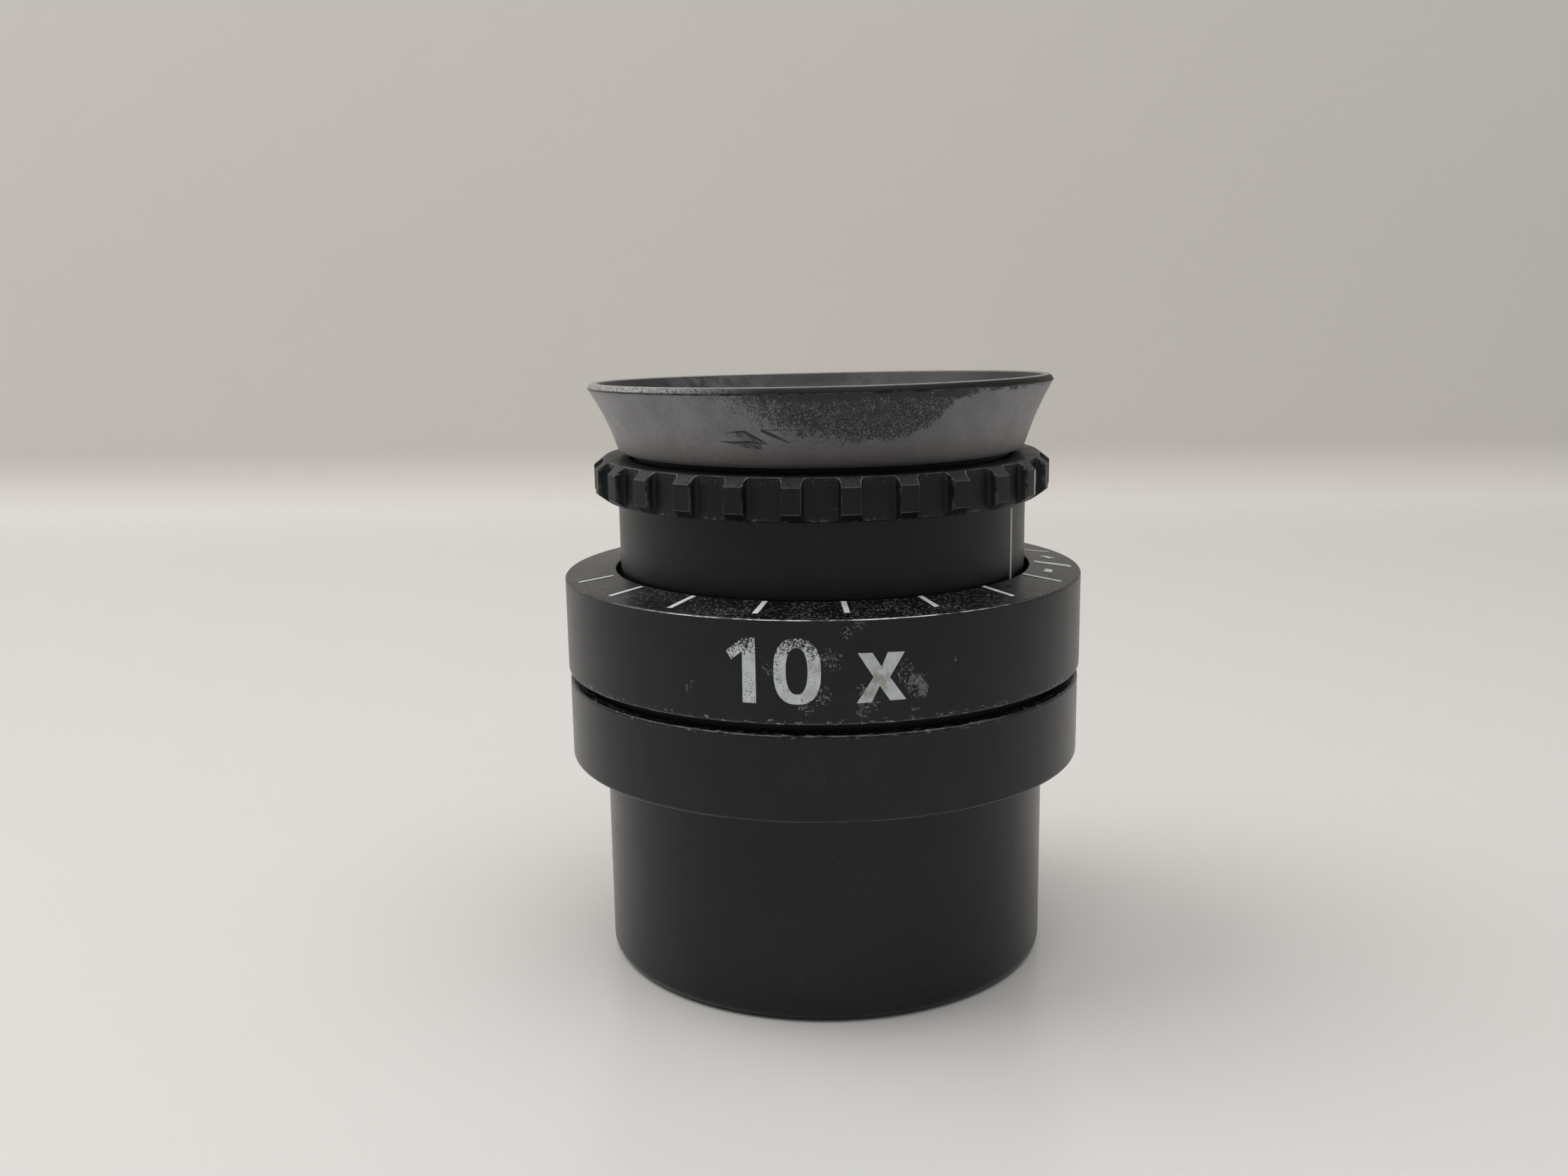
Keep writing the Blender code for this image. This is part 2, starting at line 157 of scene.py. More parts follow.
def lens_piece(name, lower, upper, radius, segs=128, rings=14):
    """Polished element. lower and upper are (curvature, edge height, dome direction)."""
    def face(curv, zed, up):
        pts = []
        for i in range(rings + 1):
            r = (radius - 0.12) * i / rings
            if curv:
                pts.append((r, zed + up * (sqrt(curv ** 2 - r * r) - sqrt(curv ** 2 - radius ** 2))))
            else:
                pts.append((r, zed))
        return pts
    lo, hi = face(*lower), face(*upper)
    edge = [(radius, lo[-1][1] + 0.12), (radius, lo[-1][1] + 0.2), (radius, hi[-1][1] - 0.2), (radius, hi[-1][1] - 0.12)]
    prof = lo + edge + hi[::-1]
    verts, faces = [], []
    inner = prof[1:-1]
    n = len(inner)
    for i in range(segs):
        az = 2 * pi * i / segs
        for r, z in inner:
            verts.append((r * MM * cos(az), r * MM * sin(az), z * MM))
    b0, t0 = len(verts), len(verts) + 1
    verts += [(0, 0, prof[0][1] * MM), (0, 0, prof[-1][1] * MM)]
    for i in range(segs):
        a, b = i * n, ((i + 1) % segs) * n
        for k in range(n - 1):
            faces.append((a + k, b + k, b + k + 1, a + k + 1))
        faces.append((b0, b, a))
        faces.append((t0, a + n - 1, b + n - 1))
    return mesh_object(name, verts, faces, 30.0)


def cut(ob, cutters):
    """Boolean differences, applied."""
    for c in cutters:
        m = ob.modifiers.new("cut", 'BOOLEAN')
        m.operation, m.solver, m.object = 'DIFFERENCE', 'EXACT', c
    dg = bpy.context.evaluated_depsgraph_get()
    me = bpy.data.meshes.new_from_object(ob.evaluated_get(dg))
    ob.modifiers.clear()
    ob.data = me
    for c in cutters:
        bpy.data.objects.remove(c, do_unlink=True)
    return ob


def radial_rod(name, az_deg, z, prof, segs=48):
    """prof is (radius about the rod's axis, distance from the eyepiece's axis) in mm."""
    verts, faces = [], []
    pts = [p for p in prof if p[0] > 0]
    n = len(pts)
    for i in range(segs):
        t = 2 * pi * i / segs
        for q, d in pts:
            verts.append((d * MM, q * MM * cos(t), q * MM * sin(t)))
    c0, c1 = len(verts), len(verts) + 1
    verts += [(prof[0][1] * MM, 0, 0), (prof[-1][1] * MM, 0, 0)]
    for i in range(segs):
        a, b = i * n, ((i + 1) % segs) * n
        for k in range(n - 1):
            faces.append((a + k, b + k, b + k + 1, a + k + 1))
        faces.append((c0, b, a))
        faces.append((c1, a + n - 1, b + n - 1))
    ob = mesh_object(name, verts, faces, 30.0)
    ob.data.transform(Matrix.Translation((0, 0, z * MM)) @ Matrix.Rotation(radians(az_deg), 4, 'Z'))
    return ob


def box_tool(az_deg, z0, z1, r0, r1, width):
    v = [(r, w, z) for r in (r0, r1) for w in (-width / 2, width / 2) for z in (z0, z1)]
    f = [(0, 1, 3, 2), (4, 6, 7, 5), (0, 4, 5, 1), (2, 3, 7, 6), (0, 2, 6, 4), (1, 5, 7, 3)]
    ob = mesh_object("tool", [(a * MM, b * MM, c * MM) for a, b, c in v], f)
    ob.data.transform(Matrix.Rotation(radians(az_deg), 4, 'Z'))
    return ob


# -------------------------------------------------------------- material tools
class Tree:
    """A few words for building a node tree. Lengths in the tree are in millimetres."""

    def __init__(self, name):
        self.mat = bpy.data.materials.new(name)
        self.mat.use_nodes = True
        self.t = self.mat.node_tree
        self.bsdf = self.t.nodes["Principled BSDF"]
        tc = self.t.nodes.new("ShaderNodeTexCoord")
        sep = self.t.nodes.new("ShaderNodeSeparateXYZ")
        mm = self.vmath('SCALE', tc.outputs["Object"], scale=1000.0)
        self.pos = mm
        self.t.links.new(mm, sep.inputs[0])
        self.x, self.y, self.z = sep.outputs[0], sep.outputs[1], sep.outputs[2]
        self.r = self.math('SQRT', self.math('ADD', self.math('MULTIPLY', self.x, self.x),
                                             self.math('MULTIPLY', self.y, self.y)))
        # azimuth from the front, positive to the right; the seam is at the back
        self.az = self.math('ARCTAN2', self.x, self.math('MULTIPLY', self.y, -1.0))

    def put(self, sock, v):
        if hasattr(v, "is_linked") or isinstance(v, bpy.types.NodeSocket):
            self.t.links.new(v, sock)
        else:
            sock.default_value = v

    def math(self, op, a, b=None, c=None, clamp=False):
        n = self.t.nodes.new("ShaderNodeMath")
        n.operation, n.use_clamp = op, clamp
        for s, v in zip(n.inputs, (a, b, c)):
            if v is not None:
                self.put(s, v)
        return n.outputs[0]

    def vmath(self, op, a, b=None, scale=None):
        n = self.t.nodes.new("ShaderNodeVectorMath")
        n.operation = op
        self.put(n.inputs[0], a)
        if b is not None:
            self.put(n.inputs[1], b)
        if scale is not None:
            n.inputs["Scale"].default_value = scale
        return n.outputs[0]

    def vec(self, x, y, z):
        n = self.t.nodes.new("ShaderNodeCombineXYZ")
        for s, v in zip(n.inputs, (x, y, z)):
            self.put(s, v)
        return n.outputs[0]

    def mul(self, a, b):
        return self.math('MULTIPLY', a, b)

    def add(self, a, b):
        return self.math('ADD', a, b)

    def step(self, v, lo, hi, a=0.0, b=1.0):
        """Smooth step from a at lo to b at hi."""
        n = self.t.nodes.new("ShaderNodeMapRange")
        n.interpolation_type = 'SMOOTHSTEP'
        self.put(n.inputs["Value"], v)
        for k, val in (("From Min", lo), ("From Max", hi), ("To Min", a), ("To Max", b)):
            self.put(n.inputs[k], val)
        return n.outputs["Result"]

    def noise(self, scale, detail=3.0, rough=0.55, vec=None, distort=0.0, seed=0.0):
        n = self.t.nodes.new("ShaderNodeTexNoise")
        n.noise_dimensions = '3D'
        v = self.pos if vec is None else vec
        if seed:
            v = self.vmath('ADD', v, (seed * 7.31, seed * 3.17, seed * 5.73))
        self.put(n.inputs["Vector"], v)
        n.inputs["Scale"].default_value = scale
        n.inputs["Detail"].default_value = detail
        n.inputs["Roughness"].default_value = rough
        n.inputs["Distortion"].default_value = distort
        return n.outputs["Fac"]

    def specks(self, cell, size, keep, seed=0.0):
        """Small grains: one candidate per cell of that size in mm, keep of them shown."""
        n = self.t.nodes.new("ShaderNodeTexVoronoi")
        n.feature = 'F1'
        v = self.pos if not seed else self.vmath('ADD', self.pos, (seed * 11.7, seed * 5.9, seed * 8.3))
        self.put(n.inputs["Vector"], v)
        n.inputs["Scale"].default_value = 1.0 / cell
        sep = self.t.nodes.new("ShaderNodeSeparateColor")
        self.t.links.new(n.outputs["Color"], sep.inputs[0])
        dot = self.step(n.outputs["Distance"], size / cell * 0.6, size / cell, 1.0, 0.0)
        pick = self.math('LESS_THAN', sep.outputs[0], keep)
        return self.mul(dot, self.mul(pick, self.step(sep.outputs[1], 0.0, 1.0, 0.35, 1.0)))

    def mix(self, f, a, b):
        n = self.t.nodes.new("ShaderNodeMix")
        n.data_type = 'RGBA'
        self.put(n.inputs["Factor"], f)
        for s, v in ((n.inputs[6], a), (n.inputs[7], b)):
            if isinstance(v, tuple):
                v = (*v, 1.0) if len(v) == 3 else v
            self.put(s, v)
        return n.outputs[2]

    def attr(self, name):
        n = self.t.nodes.new("ShaderNodeAttribute")
        n.attribute_name = name
        return n.outputs["Fac"]

    def curve(self, v, pts):
        """Piecewise curve through pts, for inputs between the first and the last point."""
        x0, x1 = pts[0][0], pts[-1][0]
        y0, y1 = min(q for _, q in pts), max(q for _, q in pts)
        n = self.t.nodes.new("ShaderNodeFloatCurve")
        c = n.mapping.curves[0]
        while len(c.points) > 2:
            c.points.remove(c.points[1])
        norm = [((a - x0) / (x1 - x0), (b - y0) / (y1 - y0)) for a, b in pts]
        c.points[0].location, c.points[1].location = norm[0], norm[-1]
        for q in norm[1:-1]:
            c.points.new(*q)
        n.mapping.update()
        self.put(n.inputs["Value"], self.math('MULTIPLY', self.math('SUBTRACT', v, x0), 1 / (x1 - x0), clamp=True))
        return self.add(self.mul(n.outputs[0], y1 - y0), y0)

    def spot(self, u, v, u0, v0, w, soft=0.25):
        """1 round the point (u0, v0) of a surface, falling to 0 at a distance w."""
        du, dv = self.math('SUBTRACT', u, u0), self.math('SUBTRACT', v, v0)
        d = self.math('SQRT', self.add(self.mul(du, du), self.mul(dv, dv)))
        return self.step(d, w * soft, w, 1.0, 0.0)

    def near(self, r0, z0, w):
        """1 on the circle (r0, z0), falling to 0 at a distance w from it."""
        dr, dz = self.math('SUBTRACT', self.r, r0), self.math('SUBTRACT', self.z, z0)
        d = self.math('SQRT', self.add(self.mul(dr, dr), self.mul(dz, dz)))
        return self.step(d, w * 0.25, w, 1.0, 0.0)

    def bump(self, height, strength, distance_mm, normal=None):
        n = self.t.nodes.new("ShaderNodeBump")
        n.inputs["Strength"].default_value = strength
        n.inputs["Distance"].default_value = distance_mm * MM
        self.put(n.inputs["Height"], height)
        if normal is not None:
            self.put(n.inputs["Normal"], normal)
        return n.outputs[0]

    def out(self, **kw):
        for k, v in kw.items():
            k = k.replace("_", " ")
            if isinstance(v, tuple) and len(v) == 3 and k in ("Base Color",):
                v = (*v, 1.0)
            self.put(self.bsdf.inputs[k], v)
        return self.mat


def anodised(name, base, rough, edges=(), specks=1.0, seed=1.0, lint=None, spec=0.5, edge_wear_and_highlight=1.0):
    """Black anodised metal: fine blasted grain, faint turning lines, dust, and bright edge lines, partly worn metal
    and partly painted highlights, strongest towards the front.
    edges are (r, z, width, amount) in mm."""
    T = Tree(name)
    arc = T.mul(T.az, 18.0)
    lines = T.noise(1.0, 2.0, 0.5, vec=T.vec(T.mul(arc, 0.05), T.mul(T.z, 9.0), T.mul(T.r, 9.0)), seed=seed)
    grain = T.noise(9.0, 2.0, 0.6, seed=seed + 1)
    cloud = T.noise(0.22, 4.0, 0.6, seed=seed + 2)
    smear = T.noise(1.0, 4.0, 0.65, vec=T.vec(T.mul(arc, 0.16), T.mul(T.z, 0.5), T.mul(T.r, 0.5)), seed=seed + 3)
    col = T.mix(T.step(cloud, 0.35, 0.68), tuple(c * 0.8 for c in base), tuple(c * 1.35 for c in base))
    rgh = T.add(T.step(smear, 0.3, 0.7, rough - 0.012, rough + 0.015), T.mul(T.math('SUBTRACT', grain, 0.5), 0.06))
    # grains of dust, in drifts
    drift = T.step(T.noise(0.35, 3.0, 0.6, seed=seed + 4), 0.42, 0.72, 0.25, 1.0)
    d1 = T.specks(0.9, 0.055, 0.16 * specks, seed + 5)
    d2 = T.specks(2.3, 0.10, 0.10 * specks, seed + 6)
    dust = T.mul(T.math('MAXIMUM', d1, d2), drift)
    col = T.mix(T.mul(dust, 0.75), col, (0.23, 0.22, 0.205))
    if lint is not None:
        fibres = lint(T, seed)
        col = T.mix(T.mul(fibres, 0.9), col, (0.42, 0.42, 0.405))
        dust = T.math('MAXIMUM', dust, fibres)
    rgh = T.math('MAXIMUM', rgh, T.mul(dust, 0.9))
    metal = 0.0
    # painted highlights: the bright metallic edge lines are partly real wear and partly painted highlights, faded away
    # from the front
    if edges:
        m = None
        for r0, z0, w, amount in edges:
            e = T.mul(T.near(r0, z0, w), amount)
            m = e if m is None else T.math('MAXIMUM', m, e)
        rub_and_glint = T.step(T.noise(1.0, 5.0, 0.7, vec=T.vec(T.mul(arc, 0.8), T.mul(T.z, 4.0), T.mul(T.r, 4.0)), seed=seed + 8),
                     0.40, 0.56)
        m = T.mul(T.mul(m, rub_and_glint), T.mul(T.step(T.math('ABSOLUTE', T.add(T.az, -0.06)), 0.38, 0.80, 1.0, 0.16), edge_wear_and_highlight))
        col = T.mix(m, col, (0.64, 0.64, 0.65))
        metal = T.mul(m, 0.7)
    h = T.add(T.mul(lines, 0.10), T.mul(grain, 0.90))
    T.bsdf.inputs["Specular Tint"].default_value = (0.93, 0.94, 1.0, 1.0)
    T.out(Base_Color=col, Roughness=rgh, Metallic=metal, Specular_IOR_Level=spec,
          Normal=T.bump(h, 0.25, 0.003))
    return T.mat


# ------------------------------------------------------------------- materials
BLACK = (0.0045, 0.0047, 0.0066)


def groove_lint(T, seed):
    """Lint and dust caught along the two lips of the dark groove."""
    band = T.math('MAXIMUM', T.near(FLANGE_R - 0.35, FLANGE_TOP, 0.55), T.near(RING_R - 0.2, RING_BOT + 0.1, 0.5))
    arc = T.mul(T.az, 20.0)
    fib = T.noise(1.0, 5.0, 0.75, vec=T.vec(T.mul(arc, 1.6), T.mul(T.z, 3.5), T.mul(T.r, 3.5)), seed=seed + 9)
    return T.mul(T.mul(band, T.step(fib, 0.578, 0.62)), 1.0)


LINT_SPOTS = ((0.5, 27.7, 1.0), (-0.2, 25.3, 0.9), (-1.2, 24.4, 0.7), (2.6, 25.6, 0.5), (2.7, 24.3, 0.8), (5.6, 27.0, 0.7),
              (5.2, 26.3, 0.5), (1.6, 29.6, 0.5), (2.5, 30.0, 0.5), (6.4, 25.8, 1.1), (-3.8, 27.0, 0.5), (3.4, 24.6, 0.6),
              (6.3, 24.1, 0.4), (9.5, 27.2, 0.3), (-9.5, 25.5, 0.6))


def number_lint(T, seed):
    """Groove lint, and curly flecks left round the number by a wipe."""
    u = T.mul(T.az, 20.3)
    m = None
    for u0, v0, w in LINT_SPOTS:
        k = T.spot(u, T.z, u0, v0, w, 0.1)
        m = k if m is None else T.math('MAXIMUM', m, k)
    m = T.mul(m, T.math('GREATER_THAN', T.r, 20.2))
    # short curly fibres: the zero line of one noise, chopped up by another
    curl = T.math('ABSOLUTE', T.math('SUBTRACT', T.noise(5.0, 2.0, 0.6, distort=1.2, seed=seed + 20), 0.5))
    line = T.step(curl, 0.012, 0.034, 1.0, 0.0)
    chop = T.noise(4.2, 2.0, 0.6, seed=seed + 23)
    fleck = T.mul(line, T.step(T.add(chop, T.mul(m, 0.09)), 0.568, 0.595))
    face = T.mul(T.math('GREATER_THAN', T.z, 30.42), T.math('LESS_THAN', T.y, -2.0))
    loose = T.add(chop, T.mul(T.math('SUBTRACT', T.noise(0.35, 2.0, 0.5, seed=seed + 22), 0.5), 0.25))
    scatter = T.mul(T.mul(face, line), T.step(loose, 0.535, 0.58))
    return T.math('MAXIMUM', T.math('MAXIMUM', T.mul(T.math('MAXIMUM', T.math('GREATER_THAN', m, 0.05), 0.0), fleck), T.mul(scatter, 0.75)), groove_lint(T, seed))


MAT = {}
# the bright lines on the flange's top edge and the scale ring's lower edge are painted highlights
MAT["tube"] = anodised("black_anodised_tube", BLACK, 0.29, spec=0.38, seed=1.0, specks=0.8, lint=groove_lint, edge_wear_and_highlight=0.8, edges=(
    (FLANGE_R - 0.05, FLANGE_TOP - 0.05, 0.12, 0.30), (FLANGE_R - 0.06, SEAT_Z + 0.06, 0.10, 0.20)))
MAT["ring"] = anodised("black_anodised_scale_ring", BLACK, 0.33, spec=0.38, seed=3.0, specks=1.6, lint=number_lint, edges=(
    (20.24, 30.42, 0.050, 1.0), (16.36, 30.90, 0.12, 0.15),
    (RING_R - 0.05, RING_BOT + 0.05, 0.12, 0.20)))
MAT["sleeve"] = anodised("black_anodised_sleeve", BLACK, 0.38, spec=0.36, seed=5.0, specks=0.8)
MAT["inner"] = anodised("matt_black_inner", (0.006, 0.006, 0.0065), 0.62, seed=7.0, specks=0.3)
MAT["retainer"] = anodised("black_retaining_ring", (0.012, 0.012, 0.013), 0.40, seed=9.0, specks=0.6, edges=(
    (11.5, 41.0, 0.15, 0.5), (12.35, 41.0, 0.15, 0.4)))


def metal(name, colour, rough, lines=10.0, black_from=None, seed=2.0):
    T = Tree(name)
    arc = T.mul(T.az, 18.0)
    turn = T.noise(1.0, 3.0, 0.6, vec=T.vec(T.mul(arc, 0.15), T.mul(T.z, lines), T.mul(T.r, lines)), seed=seed)
    cloud = T.noise(0.8, 4.0, 0.6, seed=seed + 1)
    col = T.mix(T.step(cloud, 0.3, 0.7), tuple(c * 0.78 for c in colour), colour)
    rgh = T.step(turn, 0.25, 0.75, rough - 0.08, rough + 0.10)
    met = 1.0
    if black_from:
        m = T.step(T.r, black_from - 0.05, black_from, 0.0, 1.0)
        col = T.mix(m, col, (0.006, 0.006, 0.006))
        met = T.math('SUBTRACT', 1.0, m)
        rgh = T.math('MAXIMUM', rgh, T.mul(m, 0.6))
    T.out(Base_Color=col, Roughness=rgh, Metallic=met, Normal=T.bump(turn, 0.3, 0.006))
    return T.mat


MAT["brass"] = metal("turned_brass_blackened_outside", (0.72, 0.52, 0.24), 0.30, black_from=18.95)
MAT["steel"] = metal("ground_steel", (0.50, 0.50, 0.51), 0.30, lines=14.0, seed=4.0)


def grip_plastic(name="moulded_grip_plastic", teeth=True):
    T = Tree(name)
    base = (0.0040, 0.0046, 0.0054)
    grain = T.noise(11.0, 2.0, 0.6, seed=11)
    cloud = T.noise(0.45, 4.0, 0.6, seed=12)
    col = T.mix(T.step(cloud, 0.35, 0.7), tuple(c * 0.8 for c in base), tuple(c * 1.5 for c in base))
    rgh = T.step(cloud, 0.3, 0.7, 0.40, 0.52)
    dust = T.math('MAXIMUM', T.specks(0.75, 0.05, 0.20, 13), T.specks(1.9, 0.09, 0.12, 14))
    if teeth:
        # teeth sit half a pitch from the front, so a crest's centre is at frac = +-pitch/2
        frac = T.math('WRAP', T.mul(T.az, 180.0 / pi), PITCH / 2, -PITCH / 2)
        off = T.math('SUBTRACT', PITCH / 2, T.math('ABSOLUTE', frac))      # degrees from the crest's centre
        arc = T.mul(off, pi / 180 * 17.6)
        turn = T.curve(T.z, ((39.20, 0.0), (39.32, 0.015), (39.42, 0.06), (39.50, 0.13), (39.56, 0.22), (39.60, 0.34)))
        side = T.math('ABSOLUTE', T.math('SUBTRACT', arc, T.add(turn, CREST_HALF)))
        flank = T.mul(T.step(side, 0.015, 0.045, 1.0, 0.0), T.step(T.r, 17.35, 17.55, 0.0, 1.0))
        inner = T.mul(T.mul(T.step(side, 0.020, 0.060, 1.0, 0.0), T.step(T.z, 39.0, 39.1, 0.0, 1.0)), T.step(T.r, 16.97, 17.03))
        on_top = T.step(arc, CREST_HALF, CREST_HALF + 0.06, 1.0, 0.0)
        crest = T.mul(T.math('MAXIMUM', T.near(TOOTH_R, 39.0, 0.065), T.mul(T.near(TOOTH_R, 37.12, 0.065), 0.7)), on_top)
        brow = T.mul(T.near(16.98, 39.60, 0.085), T.math('SUBTRACT', 1.0, on_top))
        # painted highlights: pale lines along the teeth's crest edges, flanks, upper chamfer edges and recess brows,
        # broken up by noise
        highlight_breakup = T.step(T.noise(0.9, 4.0, 0.7, seed=15), 0.38, 0.62, 0.05, 1.0)
        fine = T.step(T.noise(6.0, 3.0, 0.7, seed=16), 0.32, 0.56, 0.25, 1.0)
        m = T.math('MAXIMUM', T.mul(flank, 0.50), T.math('MAXIMUM', T.mul(inner, 0.80), T.mul(brow, 0.80)))
        m = T.math('MAXIMUM', T.mul(m, highlight_breakup), T.mul(crest, T.add(T.mul(highlight_breakup, 0.4), 0.45)))
        m = T.mul(m, fine)
        col = T.mix(m, col, (0.17, 0.175, 0.17))
        chamfer_glint = T.mul(inner, T.step(T.noise(1.5, 3.0, 0.6, seed=24), 0.44, 0.56))
        col = T.mix(T.mul(chamfer_glint, 0.85), col, (0.36, 0.36, 0.35))
        # the upper chamfers are painted lighter, partly as chalky dust and partly as painted light where they face up;
        # dust gathers on the top face and under the flanks
        chamfer = T.mul(T.step(T.z, 39.0, 39.08), T.mul(on_top, T.step(T.r, 16.9, 17.0)))
        chamfer_dust_and_light = T.mul(chamfer, T.step(T.noise(3.0, 4.0, 0.7, seed=19), 0.30, 0.65, 0.25, 0.85))
        col = T.mix(T.mul(chamfer_dust_and_light, 0.7), col, (0.058, 0.059, 0.058))
        settle = T.mul(T.mul(T.step(T.z, 38.95, 39.25), T.step(T.r, 16.4, 16.9)),
                       T.step(T.noise(5.5, 4.0, 0.7, seed=17), 0.52, 0.66))
        col = T.mix(T.mul(settle, 0.45), col, (0.10, 0.10, 0.095))
        low = T.mul(T.near(16.95, 36.55, 0.30), T.step(T.noise(2.6, 5.0, 0.75, seed=18), 0.50, 0.60))
        dust = T.math('MAXIMUM', dust, T.mul(low, 0.5))
        # one corner is worn through to the pale filler
        worn = T.mul(T.step(T.math('ABSOLUTE', T.math('SUBTRACT', T.mul(T.az, 17.6), radians(62.0) * 17.6)), 0.13, 0.24, 1.0, 0.0),
                     T.mul(T.step(T.z, 37.0, 37.15), T.step(T.z, 38.85, 39.0, 1.0, 0.0)))
        worn = T.mul(T.mul(worn, T.step(T.noise(3.5, 4.0, 0.7, seed=20), 0.36, 0.47)), T.step(T.r, 17.2, 17.4))
        col = T.mix(worn, col, (0.62, 0.60, 0.55))
    col = T.mix(T.mul(dust, 0.75), col, (0.24, 0.23, 0.21))
    rgh = T.math('MAXIMUM', rgh, T.mul(dust, 0.9))
    T.bsdf.inputs["Specular Tint"].default_value = (0.90, 0.95, 1.0, 1.0)
    T.out(Base_Color=col, Roughness=rgh, Specular_IOR_Level=0.34, Normal=T.bump(grain, 0.30, 0.005))
    return T.mat


CREST_HALF, FOOT = 0.68, 1.06        # mm of arc from a tooth's centre: crest edge, end of the root fillet
MAT["grip"] = grip_plastic()
MAT["hub"] = grip_plastic("moulded_hub_plastic", teeth=False)


def acetal():
    T = Tree("natural_acetal")
    cloud = T.noise(0.9, 3.0, 0.5, seed=21)
    col = T.mix(T.step(cloud, 0.3, 0.7), (0.62, 0.60, 0.54), (0.74, 0.72, 0.66))
    T.out(Base_Color=col, Roughness=T.step(cloud, 0.3, 0.7, 0.36, 0.46), Normal=T.bump(cloud, 0.2, 0.02))
    return T.mat


MAT["acetal"] = acetal()


def strokes(T, u, z, wobble, lines):
    """Union of tapered strokes: each is (u0, z0, u1, z1, half width at each end)."""
    m = None
    for u0, z0, u1, z1, w0, w1 in lines:
        L2 = (u1 - u0) ** 2 + (z1 - z0) ** 2
        px, pz = T.math('SUBTRACT', u, u0), T.math('SUBTRACT', z, z0)
        t = T.math('MULTIPLY', T.add(T.mul(px, u1 - u0), T.mul(pz, z1 - z0)), 1 / L2, clamp=True)
        qx, qz = T.math('SUBTRACT', px, T.mul(t, u1 - u0)), T.math('SUBTRACT', pz, T.mul(t, z1 - z0))
        dist = T.math('SQRT', T.add(T.mul(qx, qx), T.mul(qz, qz)))
        w = T.mul(T.add(T.mul(t, w1 - w0), w0), 1.7)
        k = T.step(T.math('SUBTRACT', dist, T.add(w, wobble)), -0.03, 0.03, 1.0, 0.0)
        m = k if m is None else T.math('MAXIMUM', m, k)
    return m


# lower edge of the rubbed patch: arc from the front and height, mm
PATCH = ((-20.0, 45.15), (-12.5, 45.05), (-10.5, 44.7), (-8.5, 44.0), (-6.5, 43.2), (-4.27, 42.7), (-1.85, 42.0),
         (0.0, 41.75), (3.87, 41.75), (5.83, 41.9), (7.29, 42.35), (8.29, 42.9), (8.93, 43.6), (9.58, 44.2), (10.17, 44.72),
         (11.3, 44.90), (16.0, 45.00), (20.0, 45.15))
SCRATCHES = ((-6.78, 42.53, -6.0, 42.66, 0.01, 0.03), (-6.0, 42.66, -5.34, 42.68, 0.03, 0.05),
             (-5.34, 42.68, -4.87, 42.38, 0.05, 0.06), (-4.87, 42.38, -4.39, 42.14, 0.06, 0.05),
             (-4.39, 42.14, -3.84, 41.83, 0.05, 0.02), (-7.34, 41.93, -6.3, 41.88, 0.01, 0.05),
             (-6.3, 41.88, -5.2, 41.95, 0.05, 0.05), (-5.2, 41.95, -3.84, 41.83, 0.05, 0.02),
             (-4.05, 42.76, -3.39, 42.46, 0.06, 0.07), (-3.39, 42.46, -2.18, 41.90, 0.07, 0.01),
             (-4.17, 42.79, 0.0, 42.87, 0.02, 0.00))
HATCH = ((-5.9, 42.5, -5.1, 42.2, 0.10, 0.16), (-5.1, 42.2, -4.3, 41.95, 0.16, 0.10), (-5.8, 41.75, -4.4, 41.62, 0.12, 0.12))


